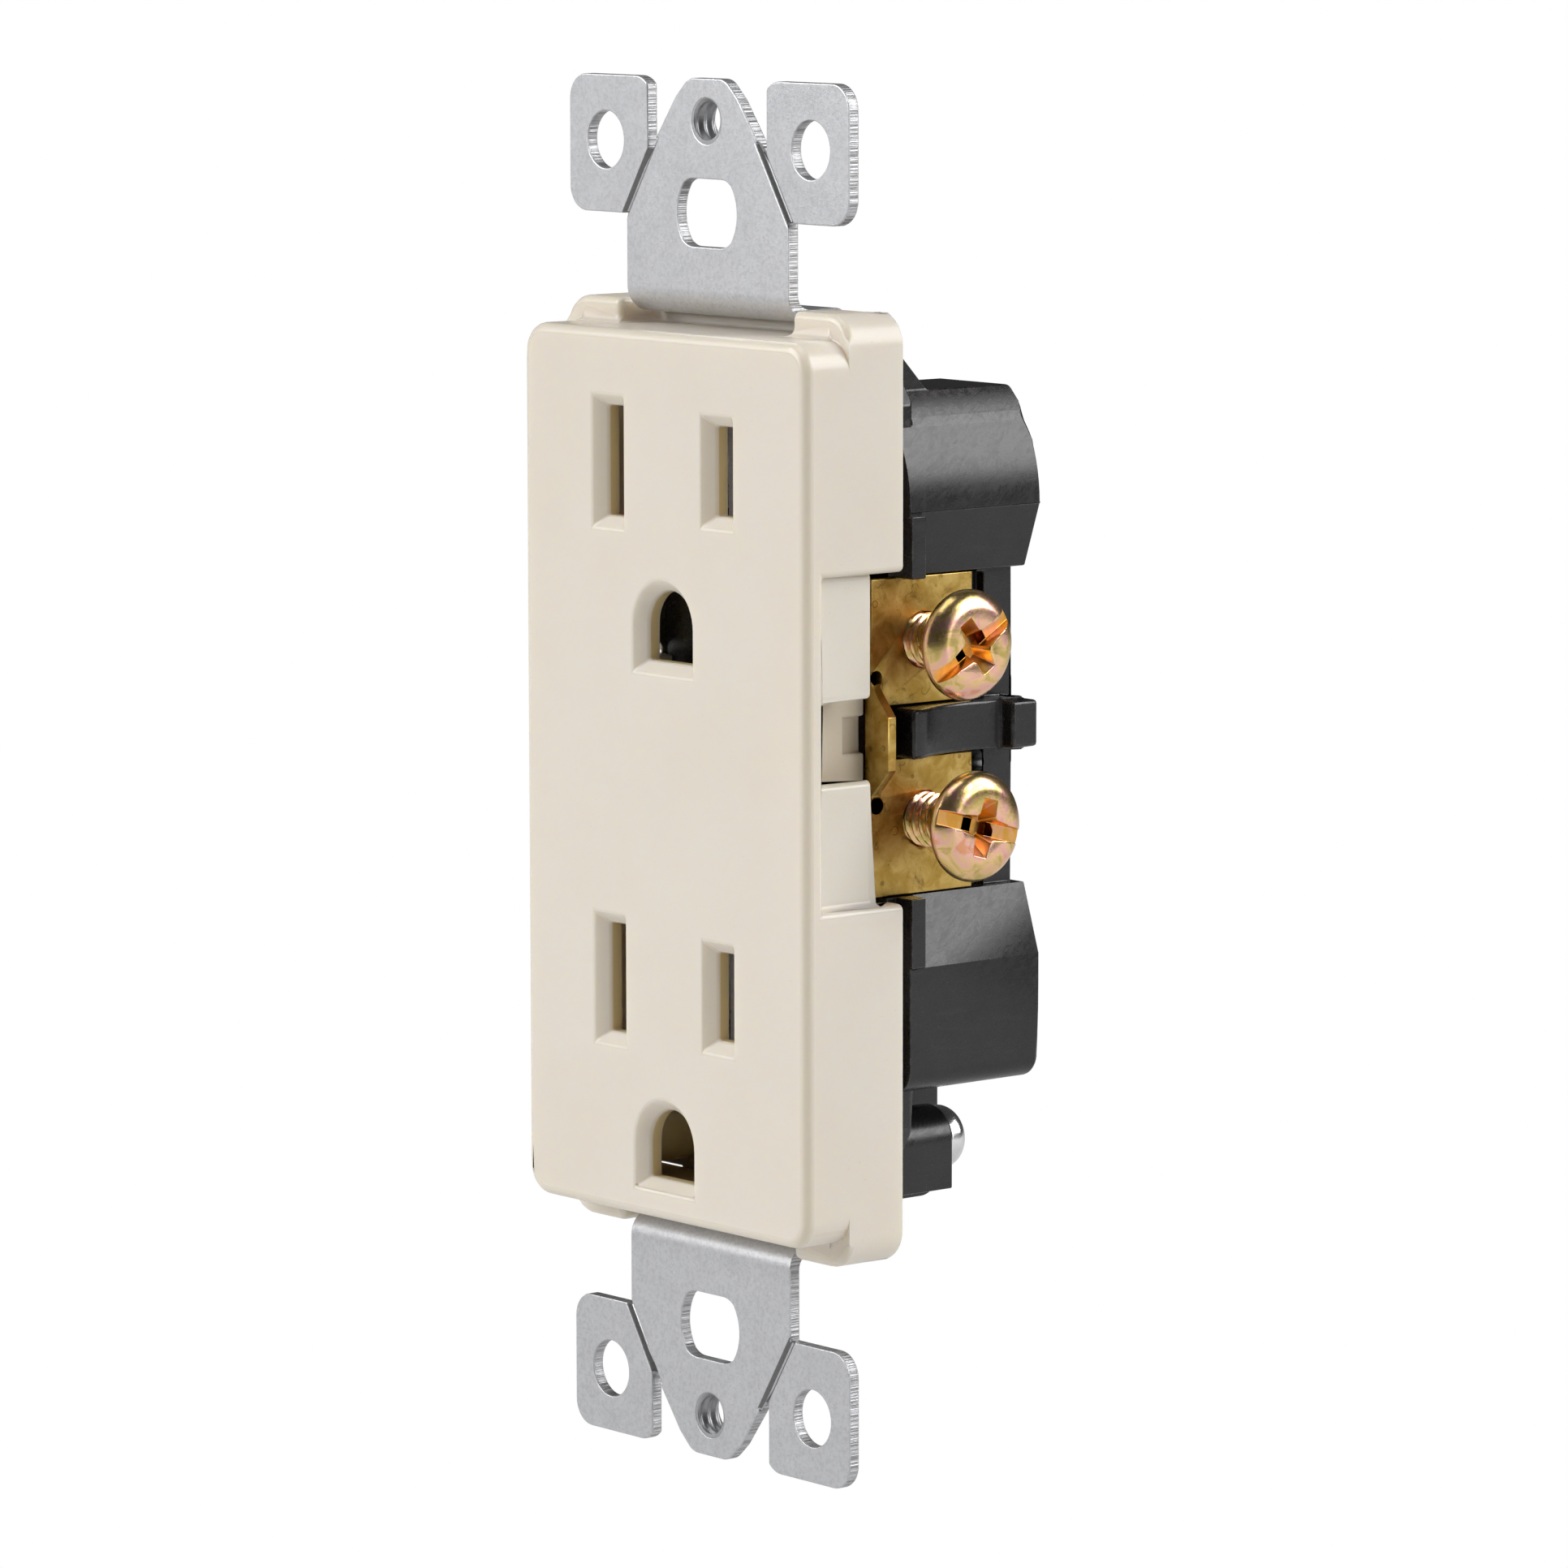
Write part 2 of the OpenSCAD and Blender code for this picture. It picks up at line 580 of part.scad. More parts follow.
// Spring clip for the ground pin, riveted behind the strap
module ground_contact(z) {
    leaf_in = 2.45;
    difference() {
        box([-3.2, bar_back, z - 4.2], [3.2, bar_back + leaf_t, z + 6.2]);
        rod_y(0, z, pin_way_r - 0.9, bar_back - eps, bar_back + leaf_t + eps);
        rod_y(0, z + rivet_rise, rivet_r + 0.02, bar_back - eps, bar_back + leaf_t + eps);
    }
    both_sides() box([leaf_in, bar_back, z - 2.2], [leaf_in + leaf_t, 14, z + 2.2]);
}

module ground_contact_upper() color([0.72, 0.55, 0.3]) ground_contact(upper_z - ground_drop);
module ground_contact_lower() color([0.72, 0.55, 0.3]) ground_contact(lower_z - ground_drop);

module ground_rivet(z) {
    rod_y(0, z, rivet_r, bar_y - 0.5, bar_back + leaf_t + 0.5);
    rod_y(0, z, 1.7, bar_y - 0.6, bar_y);
    rod_y(0, z, 1.6, bar_back + leaf_t, bar_back + leaf_t + 0.6);
}

module ground_rivet_upper() color("silver") ground_rivet(upper_z - ground_drop + rivet_rise);
module ground_rivet_lower() color("silver") ground_rivet(lower_z - ground_drop + rivet_rise);

// Screw from the rear that clamps the body and the strap to the cover
module assembly_screw(place) {
    rod_y(place[0], place[1], assembly_r, -1.4, boss_back + eps);
    difference() {
        union() {
            rod_y(place[0], place[1], assembly_head_r, boss_back, boss_back + 1.2);
            intersection() {
                translate([place[0], boss_back + 0.2, place[1]]) sphere(2.6);
                rod_y(place[0], place[1], assembly_head_r, boss_back + 1.1, boss_back + 2.4);
            }
        }
        translate([place[0], boss_back + 2.4, place[1]]) {
            cube([3.4, 2, 0.8], center = true);
            cube([0.8, 2, 3.4], center = true);
        }
    }
}

module assembly_screw_top() color("silver") assembly_screw(screw_places[0]);
module assembly_screw_left() color("silver") assembly_screw(screw_places[1]);
module assembly_screw_right() color("silver") assembly_screw(screw_places[2]);

// Bent leaf that grips a wire against the inner face of a terminal plate
module wire_clamp(side, z) {
    in_x = shell_x - 3.15;
    tip_x = shell_x - 0.2;
    mirror([side < 0 ? 1 : 0, 0, 0]) along_z(z - 0.7, z + 0.7) polygon([
        [in_x, cavity_back], [in_x + 0.35, cavity_back], [in_x + 0.35, 6.7], [tip_x - 0.3, 10.5],
        [tip_x, 10.2], [in_x + 0.65, 5.7], [in_x, 5.7]]);
}

module wire_clamp_hot_upper() color([0.8, 0.78, 0.72]) wire_clamp(1, terminal_mid_z + wire_rise);
module wire_clamp_hot_lower() color([0.8, 0.78, 0.72]) wire_clamp(1, terminal_mid_z - wire_rise);
module wire_clamp_neutral_upper() color([0.8, 0.78, 0.72]) wire_clamp(-1, terminal_mid_z + wire_rise);
module wire_clamp_neutral_lower() color([0.8, 0.78, 0.72]) wire_clamp(-1, terminal_mid_z - wire_rise);

front_cover();
rear_body();
mounting_strap();
hot_contact();
neutral_contact();
hot_screw_upper();
hot_screw_lower();
neutral_screw_upper();
neutral_screw_lower();
ground_screw();
ground_contact_upper();
ground_contact_lower();
ground_rivet_upper();
ground_rivet_lower();
assembly_screw_top();
assembly_screw_left();
assembly_screw_right();
wire_clamp_hot_upper();
wire_clamp_hot_lower();
wire_clamp_neutral_upper();
wire_clamp_neutral_lower();
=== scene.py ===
"""A duplex wall receptacle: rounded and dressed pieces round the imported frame, with studio and camera."""

import logging
import math
from dataclasses import dataclass, field
from enum import Enum
from typing import Callable, Iterable, Sequence

import bmesh
import bpy
from mathutils import Matrix, Vector
from mathutils.bvhtree import BVHTree


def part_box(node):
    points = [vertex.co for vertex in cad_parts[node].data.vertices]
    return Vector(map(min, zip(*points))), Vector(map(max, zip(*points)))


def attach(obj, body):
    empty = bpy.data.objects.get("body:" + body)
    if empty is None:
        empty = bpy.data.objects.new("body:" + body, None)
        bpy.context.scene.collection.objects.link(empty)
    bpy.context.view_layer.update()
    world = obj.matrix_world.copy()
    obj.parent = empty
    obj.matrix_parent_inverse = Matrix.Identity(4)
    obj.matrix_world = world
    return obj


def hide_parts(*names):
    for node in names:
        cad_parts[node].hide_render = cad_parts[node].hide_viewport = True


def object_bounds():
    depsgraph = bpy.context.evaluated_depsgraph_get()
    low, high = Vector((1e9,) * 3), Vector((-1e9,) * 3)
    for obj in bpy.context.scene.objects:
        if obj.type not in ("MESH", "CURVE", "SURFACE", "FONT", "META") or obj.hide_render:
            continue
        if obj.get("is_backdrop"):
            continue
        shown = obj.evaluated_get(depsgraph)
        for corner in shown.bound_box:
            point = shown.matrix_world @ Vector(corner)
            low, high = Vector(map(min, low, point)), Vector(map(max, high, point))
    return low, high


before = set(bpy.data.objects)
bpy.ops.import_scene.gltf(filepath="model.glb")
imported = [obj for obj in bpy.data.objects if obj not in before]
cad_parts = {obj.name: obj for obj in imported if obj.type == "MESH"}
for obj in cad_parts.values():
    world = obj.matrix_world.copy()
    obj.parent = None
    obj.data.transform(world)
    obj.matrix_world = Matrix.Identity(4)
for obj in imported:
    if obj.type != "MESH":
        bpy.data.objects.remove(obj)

LOG = logging.getLogger("receptacle")
MM = 0.001
WELD = 1e-6  # metres
TOUCH = 0.02  # millimetres within which two places count as one
PLAIN_CREASE = 13.0  # degrees past which an edge between two flat faces is drawn sharp
ROUNDED_CREASE = 38.0  # the same beside a rounding
ROOT = "receptacle"
Colour = tuple[float, float, float]
Rule = Callable[[bmesh.types.BMEdge], bool]
Mark = Callable[[Vector, Vector], float]


def rgba(colour: Colour) -> tuple[float, float, float, float]:
    """Adds full opacity to a colour."""
    return (colour[0], colour[1], colour[2], 1.0)


# ------------------------------------------------------------------ shader building
class Value:
    """Wraps a float socket so that shader maths reads as Python expressions."""

    def __init__(self, tree: "Shader", socket: bpy.types.NodeSocket) -> None:
        """Keeps the shader the socket belongs to.

        Args:
            tree: shader that owns the socket.
            socket: output socket with one number.
        """
        self.tree = tree
        self.socket = socket

    def _math(self, operation: str, *values: "Value | float") -> "Value":
        """Adds one Math node over the given values."""
        return self.tree.value("ShaderNodeMath", {"operation": operation}, dict(enumerate(values)))

    def __add__(self, other: "Value | float") -> "Value":
        """Sum."""
        return self._math("ADD", self, other)

    def __radd__(self, other: float) -> "Value":
        """Sum with a number on the left."""
        return self._math("ADD", other, self)

    def __sub__(self, other: "Value | float") -> "Value":
        """Difference."""
        return self._math("SUBTRACT", self, other)

    def __rsub__(self, other: float) -> "Value":
        """Difference from a number on the left."""
        return self._math("SUBTRACT", other, self)

    def __mul__(self, other: "Value | float") -> "Value":
        """Product."""
        return self._math("MULTIPLY", self, other)

    def __rmul__(self, other: float) -> "Value":
        """Product with a number on the left."""
        return self._math("MULTIPLY", other, self)

    def above(self, low: float, high: float) -> "Value":
        """Smooth step from 0 at low to 1 at high.

        Args:
            low: value that gives 0.
            high: value that gives 1; it may be the smaller one.

        Returns:
            The stepped value.
        """
        settings = {"interpolation_type": "SMOOTHSTEP"}
        inputs = {"Value": self, "From Min": low, "From Max": high, "To Min": 0.0, "To Max": 1.0}
        return self.tree.value("ShaderNodeMapRange", settings, inputs, "Result")


class Shader:
    """Node tree of one material, with a method for each kind of pattern that the finishes share."""

    def __init__(self, name: str) -> None:
        """Makes an empty material.

        Args:
            name: name of the material.
        """
        self.material = bpy.data.materials.new(name)
        self.material.use_nodes = True
        self.nodes = self.material.node_tree.nodes
        self.links = self.material.node_tree.links
        self.nodes.clear()
        place = self.node("ShaderNodeTexCoord", {}, {}).outputs["Object"]
        self.place = self.node("ShaderNodeVectorMath", {"operation": "SCALE"},
                               {0: place, "Scale": 1000.0}).outputs[0]
        parts = self.node("ShaderNodeSeparateXYZ", {}, {0: self.place})
        self.x, self.y, self.z = (Value(self, s) for s in parts.outputs)

    def node(self, kind: str, settings: dict, inputs: dict) -> bpy.types.Node:
        """Adds a node.

        Args:
            kind: type name of the node.
            settings: attributes that are set first; "stops" fills a colour ramp.
            inputs: values or links by socket name or index.

        Returns:
            The new node.
        """
        made = self.nodes.new(kind)
        for key, value in settings.items():
            if key == "stops":
                ramp = made.color_ramp
                while len(ramp.elements) < len(value):
                    ramp.elements.new(0.5)
                for element, (at, colour) in zip(ramp.elements, value):
                    element.position = at
                    element.color = rgba(colour)
            else:
                setattr(made, key, value)
        for key, value in inputs.items():
            target = made.inputs[key]
            if isinstance(value, Value):
                self.links.new(value.socket, target)
            elif isinstance(value, bpy.types.NodeSocket):
                self.links.new(value, target)
            elif isinstance(value, tuple) and len(value) == 3 and target.type == "RGBA":
                target.default_value = rgba(value)
            else:
                target.default_value = value
        return made

    def value(self, kind: str, settings: dict, inputs: dict, output: str | int = 0) -> Value:
        """Adds a node and wraps one of its number outputs."""
        return Value(self, self.node(kind, settings, inputs).outputs[output])

    def stretched(self, scale: Sequence[float], turn: Sequence[float] = (0, 0, 0)) -> bpy.types.NodeSocket:
        """Position in millimetres, turned and then scaled along each axis.

        Args:
            scale: factor along X, Y and Z.
            turn: rotation about X, Y and Z in degrees.

        Returns:
            The vector socket.
        """
        angles = tuple(math.radians(a) for a in turn)
        settings = {"vector_type": "TEXTURE"}
        inverse = tuple(1 / s for s in scale)
        return self.node("ShaderNodeMapping", settings,
                         {"Vector": self.place, "Rotation": angles, "Scale": inverse}).outputs[0]

    def noise(self, scale: float, detail: float = 3.0, rough: float = 0.5,
              place: bpy.types.NodeSocket | None = None, twist: float = 0.0) -> Value:
        """Cloudy pattern of about one blotch per 1/scale millimetres."""
        inputs = {"Vector": place or self.place, "Scale": scale, "Detail": detail, "Roughness": rough,
                  "Distortion": twist}
        return self.value("ShaderNodeTexNoise", {}, inputs, "Fac")

    def specks(self, scale: float, low: float, high: float) -> Value:
        """Small round spots: 1 inside a spot, 0 outside.

        Args:
            scale: cells per millimetre.
            low: distance from a cell's point where the spot is full.
            high: distance where it has faded out.

        Returns:
            The mask.
        """
        inputs = {"Vector": self.place, "Scale": scale}
        return self.value("ShaderNodeTexVoronoi", {}, inputs, "Distance").above(high, low)

    def scratches(self, scale: float, turn: Sequence[float], width: float) -> Value:
        """Fine lines along one direction.

        Args:
            scale: lines per millimetre across their direction.
            turn: rotation of the lines in degrees.
            width: share of the pattern that is scratched, from 0 to 1.

        Returns:
            The mask.
        """
        place = self.stretched((1.0, 1.0, 0.04), turn)
        lines = self.noise(scale, 4.0, 0.7, place)
        return lines.above(1.0 - width, 1.02 - width * 0.7)

    def mixed(self, factor: "Value | float", first: object, second: object) -> bpy.types.NodeSocket:
        """Colour between two colours or colour sockets."""
        inputs = {0: factor, 6: first, 7: second}
        return self.node("ShaderNodeMix", {"data_type": "RGBA"}, inputs).outputs[2]

    def ramp(self, value: Value, stops: Sequence[tuple[float, Colour]]) -> bpy.types.NodeSocket:
        """Colour looked up along a ramp."""
        return self.node("ShaderNodeValToRGB", {"stops": stops}, {0: value}).outputs[0]

    def mark(self, name: str) -> Value:
        """A number stored on the mesh, such as the share of an edge's rounding, which stands for wear, or for
        painted shade on the ivory.
        """
        return self.value("ShaderNodeAttribute", {"attribute_name": name}, {}, "Fac")

    def bump(self, height: Value, strength: float, depth: float,
             under: bpy.types.NodeSocket | None = None) -> bpy.types.NodeSocket:
        """Relief from a height pattern.

        Args:
            height: pattern from 0 to 1.
            strength: share of the relief that shows.
            depth: relief of the whole pattern in millimetres.
            under: relief that this one lies on.

        Returns:
            The normal socket.
        """
        inputs = {"Height": height, "Strength": strength, "Distance": depth * MM}
        if under is not None:
            inputs["Normal"] = under
        return self.node("ShaderNodeBump", {}, inputs).outputs[0]

    def close(self, inputs: dict) -> bpy.types.Material:
        """Adds the surface and the output.

        Args:
            inputs: values or links of the Principled BSDF's sockets.

        Returns:
            The finished material.
        """
        surface = self.node("ShaderNodeBsdfPrincipled", {}, inputs)
        self.node("ShaderNodeOutputMaterial", {}, {"Surface": surface.outputs[0]})
        return self.material


# ------------------------------------------------------------------ finishes
@dataclass(frozen=True)
class IvoryPlastic:
    """Warm off-white moulded plastic with a soft gloss, a faint grain and a little dust, with painted shade on
    its roundings and inside its openings.
    """

    base: Colour = (0.82, 0.755, 0.665)
    shade: Colour = (0.79, 0.715, 0.595)
    # Olive tan for the walls marked inside: painted shade in the slots, ground holes and notches.
    inner: Colour = (0.7, 0.56, 0.3)
    roughness: float = 0.27

    def build(self) -> bpy.types.Material:
        """Makes the material."""
        s = Shader("ivory_plastic")
        cloud = s.noise(0.12, 3.0, 0.55)
        fine = s.noise(6.0, 2.0, 0.6)
        speck = s.specks(1.6, 0.05, 0.11) * s.noise(0.35, 2.0).above(0.5, 0.72)
        rounded_edges = s.mark("edge")
        depth = s.mark("inside")
        colour = s.mixed(cloud.above(0.35, 0.75) * 0.35, self.base, self.shade)
        # Walls marked inside take the inner tint: painted shade in the openings.
        colour = s.mixed(depth, colour, self.inner)
        # Rounding faces drawn 30% towards the shade tint: painted shade on the rounded edges.
        colour = s.mixed(rounded_edges * 0.3, colour, self.shade)
        colour = s.mixed(speck * 0.3, colour, (0.4, 0.33, 0.24))
        hair = s.scratches(7.0, (8, 0, 40), 0.3)
        rough = self.roughness + fine * 0.06 + speck * 0.25 + rounded_edges * -0.05 + hair * 0.08
        relief = s.bump(s.noise(3.2, 3.0, 0.6), 0.16, 0.05)
        relief = s.bump(s.noise(24.0, 2.0, 0.5), 0.1, 0.012, relief)
        return s.close({"Base Color": colour, "Roughness": rough, "Normal": relief,
                        "IOR": 1.52, "Subsurface Weight": 0.45, "Subsurface Scale": 0.002,
                        "Subsurface Radius": (1.0, 0.8, 0.42)})


@dataclass(frozen=True)
class BlackNylon:
    """Black moulded nylon: satin, with pale dust, rubbed edges and fine streaks."""

    base: Colour = (0.0062, 0.0056, 0.0066)
    dust: Colour = (0.3, 0.26, 0.25)
    roughness: float = 0.2

    def build(self) -> bpy.types.Material:
        """Makes the material."""
        s = Shader("black_nylon")
        cloud = s.noise(0.3, 4.0, 0.6)
        grain = s.noise(9.0, 3.0, 0.65)
        streak = s.noise(2.2, 4.0, 0.7, s.stretched((1.0, 0.12, 1.0)))
        speck = s.specks(2.4, 0.04, 0.1) * cloud.above(0.4, 0.7)
        rounded_edges = s.mark("edge")
        rubbed = rounded_edges * s.noise(1.4, 3.0, 0.7).above(0.42, 0.62)
        swirl = s.noise(1.6, 5.0, 0.75, s.stretched((1.0, 0.35, 1.0), (35, 0, 0)), twist=1.6)
        haze = cloud.above(0.35, 0.8) * 0.025 + streak.above(0.5, 0.8) * 0.03
        colour = s.mixed(haze + rubbed * 0.1 + speck * 0.3, self.base, self.dust)
        rough = self.roughness + grain * 0.14 + swirl.above(0.4, 0.7) * 0.1 + speck * 0.2 - rounded_edges * 0.04
        relief = s.bump(grain, 0.1, 0.012)
        relief = s.bump(swirl, 0.12, 0.03, relief)
        relief = s.bump(s.noise(1.1, 3.0, 0.6), 0.12, 0.05, relief)
        return s.close({"Base Color": colour, "Roughness": rough, "Normal": relief, "IOR": 1.55})


@dataclass(frozen=True)
class ZincSteel:
    """Galvanised sheet steel: light grey, speckled and rolled, with sheared striated edges and painted shade in
    its score grooves and threads.
    """

    base: Colour = (0.6, 0.605, 0.625)
    dark: Colour = (0.2, 0.2, 0.2)
    pale: Colour = (0.72, 0.725, 0.74)
    roughness: float = 0.36

    def build(self) -> bpy.types.Material:
        """Makes the material."""
        s = Shader("galvanised_steel")
        cloud = s.noise(0.5, 4.0, 0.6)
        speck = s.specks(3.2, 0.06, 0.16) * s.noise(1.1, 2.0).above(0.45, 0.6)
        grain = s.noise(11.0, 3.0, 0.7)
        rolled = s.noise(5.0, 3.0, 0.7, s.stretched((1.0, 1.0, 0.07)))
        edge = s.mark("sheared")
        cut = s.noise(4.6, 2.0, 0.6, s.stretched((0.6, 0.02, 1.0)))
        frost = s.noise(3.6, 4.0, 0.75)
        colour = s.mixed(cloud.above(0.3, 0.75) * 0.35, self.base, self.pale)
        colour = s.mixed(frost.above(0.42, 0.66) * 0.35, colour, (0.36, 0.36, 0.37))
        colour = s.mixed(speck * 0.45, colour, self.dark)
        colour = s.mixed(edge * cut.above(0.44, 0.56) * 0.5, colour, (0.12, 0.115, 0.105))
        # Faces marked groove go near black: painted shade in the score grooves and the tapped threads.
        colour = s.mixed(s.mark("groove") * 0.75, colour, (0.06, 0.06, 0.055))
        rough = self.roughness + grain * 0.16 + speck * 0.15 + edge * 0.05 - rolled * 0.06
        relief = s.bump(grain, 0.3, 0.035)
        relief = s.bump(frost, 0.3, 0.05, relief)
        relief = s.bump(rolled, 0.1, 0.03, relief)
        relief = s.bump(cut * edge, 0.9, 0.2, relief)
        return s.close({"Base Color": colour, "Roughness": rough, "Normal": relief, "Metallic": 0.82})


@dataclass(frozen=True)
class SheetBrass:
    """Stamped brass with amber stains, pits, scratches and dull edges."""

    name: str = "brass"
    base: Colour = (0.44, 0.27, 0.055)
    pale: Colour = (0.66, 0.46, 0.15)
    stain: Colour = (0.1, 0.045, 0.008)
    roughness: float = 0.3

    def build(self) -> bpy.types.Material:
        """Makes the material."""
        s = Shader(self.name)
        cloud = s.noise(0.55, 4.0, 0.65, twist=0.6)
        blot = s.noise(0.32, 5.0, 0.7, twist=1.2)
        pit = s.specks(2.6, 0.05, 0.13) * s.noise(0.9, 2.0).above(0.42, 0.62)
        line = s.scratches(5.0, (25, 0, 0), 0.34)
        rounded_edges = s.mark("edge")
        colour = s.mixed(cloud.above(0.32, 0.7), self.base, self.pale)
        colour = s.mixed(blot.above(0.55, 0.74) * 0.7, colour, self.stain)
        colour = s.mixed(pit * 0.7, colour, self.stain)
        ring = s.specks(0.9, 0.3, 0.36) - s.specks(0.9, 0.22, 0.3)
        colour = s.mixed(line * 0.5, colour, self.pale)
        colour = s.mixed(ring.above(0.2, 0.8) * s.noise(0.8, 2.0).above(0.5, 0.6) * 0.5, colour, self.stain)
        colour = s.mixed(s.specks(6.0, 0.05, 0.16) * 0.4, colour, self.stain)
        rough = self.roughness + cloud * 0.12 + blot.above(0.5, 0.74) * 0.2 + pit * 0.2 - rounded_edges * 0.05
        relief = s.bump(s.noise(7.0, 3.0, 0.6), 0.18, 0.03)
        relief = s.bump(1 - pit, 0.5, 0.06, relief)
        return s.close({"Base Color": colour, "Roughness": rough, "Normal": relief, "Metallic": 1.0})


@dataclass(frozen=True)
class Chromate:
    """Plated screw steel: a thin film whose tint drifts between a few shades, with a set colour in the recess
    and a few pits.
    """

    name: str
    tints: tuple[Colour, ...]
    recess: Colour
    roughness: float = 0.24

    def build(self) -> bpy.types.Material:
        """Makes the material."""
        s = Shader(self.name)
        drift = s.noise(0.42, 3.0, 0.6, twist=0.8)
        steps = len(self.tints) - 1
        stops = [(0.3 + 0.4 * i / steps, tint) for i, tint in enumerate(self.tints)]
        colour = s.ramp(drift, stops)
        deep = s.mark("inside")
        colour = s.mixed(deep * drift.above(0.2, 0.6) * 0.9, colour, self.recess)
        pit = s.specks(3.4, 0.05, 0.12) * s.noise(1.2, 2.0).above(0.5, 0.66)
        colour = s.mixed(pit * 0.5, colour, (0.2, 0.13, 0.06))
        rough = self.roughness + s.noise(5.0, 3.0, 0.6) * 0.16 + pit * 0.2 + deep * 0.1
        relief = s.bump(s.noise(4.0, 3.0, 0.6), 0.16, 0.04)
        return s.close({"Base Color": colour, "Roughness": rough, "Normal": relief, "Metallic": 1.0})


@dataclass(frozen=True)
class SpringSteel:
    """Bare spring strip with rolling lines and a faint straw tint."""

    base: Colour = (0.5, 0.48, 0.44)

    def build(self) -> bpy.types.Material:
        """Makes the material."""
        s = Shader("spring_steel")
        rolled = s.noise(6.0, 3.0, 0.7, s.stretched((1.0, 0.08, 1.0)))
        colour = s.mixed(rolled.above(0.3, 0.7), self.base, (0.64, 0.6, 0.52))
        return s.close({"Base Color": colour, "Roughness": 0.26 + rolled * 0.2,
                        "Normal": s.bump(rolled, 0.3, 0.03), "Metallic": 1.0})


class Finish(Enum):
    """Finishes that the pieces share, one for each material slot of the record."""

    COVER = ("cover_plastic", IvoryPlastic())
    BODY = ("body_plastic", BlackNylon())
    STRAP = ("galvanised_steel", ZincSteel())
    BRASS = ("brass", SheetBrass())
    PLATED = ("plated_brass", SheetBrass("plated_brass", (0.52, 0.5, 0.45), (0.68, 0.66, 0.6),
                                         (0.26, 0.22, 0.15), 0.28))
    YELLOW = ("yellow_zinc", Chromate("yellow_zinc", ((0.82, 0.38, 0.2), (0.92, 0.52, 0.44),
                                                      (0.9, 0.6, 0.3), (0.6, 0.47, 0.14),
                                                      (0.9, 0.46, 0.38)),
                                      (0.78, 0.38, 0.06), 0.16))
    BRIGHT = ("bright_zinc", Chromate("bright_zinc", ((0.72, 0.72, 0.73), (0.84, 0.84, 0.84),
                                                      (0.78, 0.8, 0.84)), (0.3, 0.3, 0.3), 0.14))
    GREEN = ("green_zinc", Chromate("green_zinc", ((0.05, 0.3, 0.12), (0.08, 0.38, 0.17),
                                                   (0.12, 0.36, 0.12)), (0.02, 0.12, 0.05), 0.3))
    SPRING = ("spring_steel", SpringSteel())

    def __init__(self, slot: str, recipe: object) -> None:
        """Keeps the record's slot and the recipe of the finish."""
        self.slot = slot
        self.recipe = recipe
        self.made: bpy.types.Material | None = None

    def material(self) -> bpy.types.Material:
        """The finish's material, made on first use."""
        if self.made is None:
            self.made = self.recipe.build()
        return self.made


# ------------------------------------------------------------------ mesh building
@dataclass(frozen=True)
class Rounding:
    """Edges that get one radius: those that the rule picks."""

    radius: float
    rule: Rule
    steps: int = 3


def middle(edge: bmesh.types.BMEdge) -> Vector:
    """Middle of an edge in millimetres."""
    return (edge.verts[0].co + edge.verts[1].co) / (2 * MM)


def span(edge: bmesh.types.BMEdge) -> Vector:
    """Unit direction of an edge, without sign."""
    way = (edge.verts[1].co - edge.verts[0].co).normalized()
    return Vector(abs(c) for c in way)


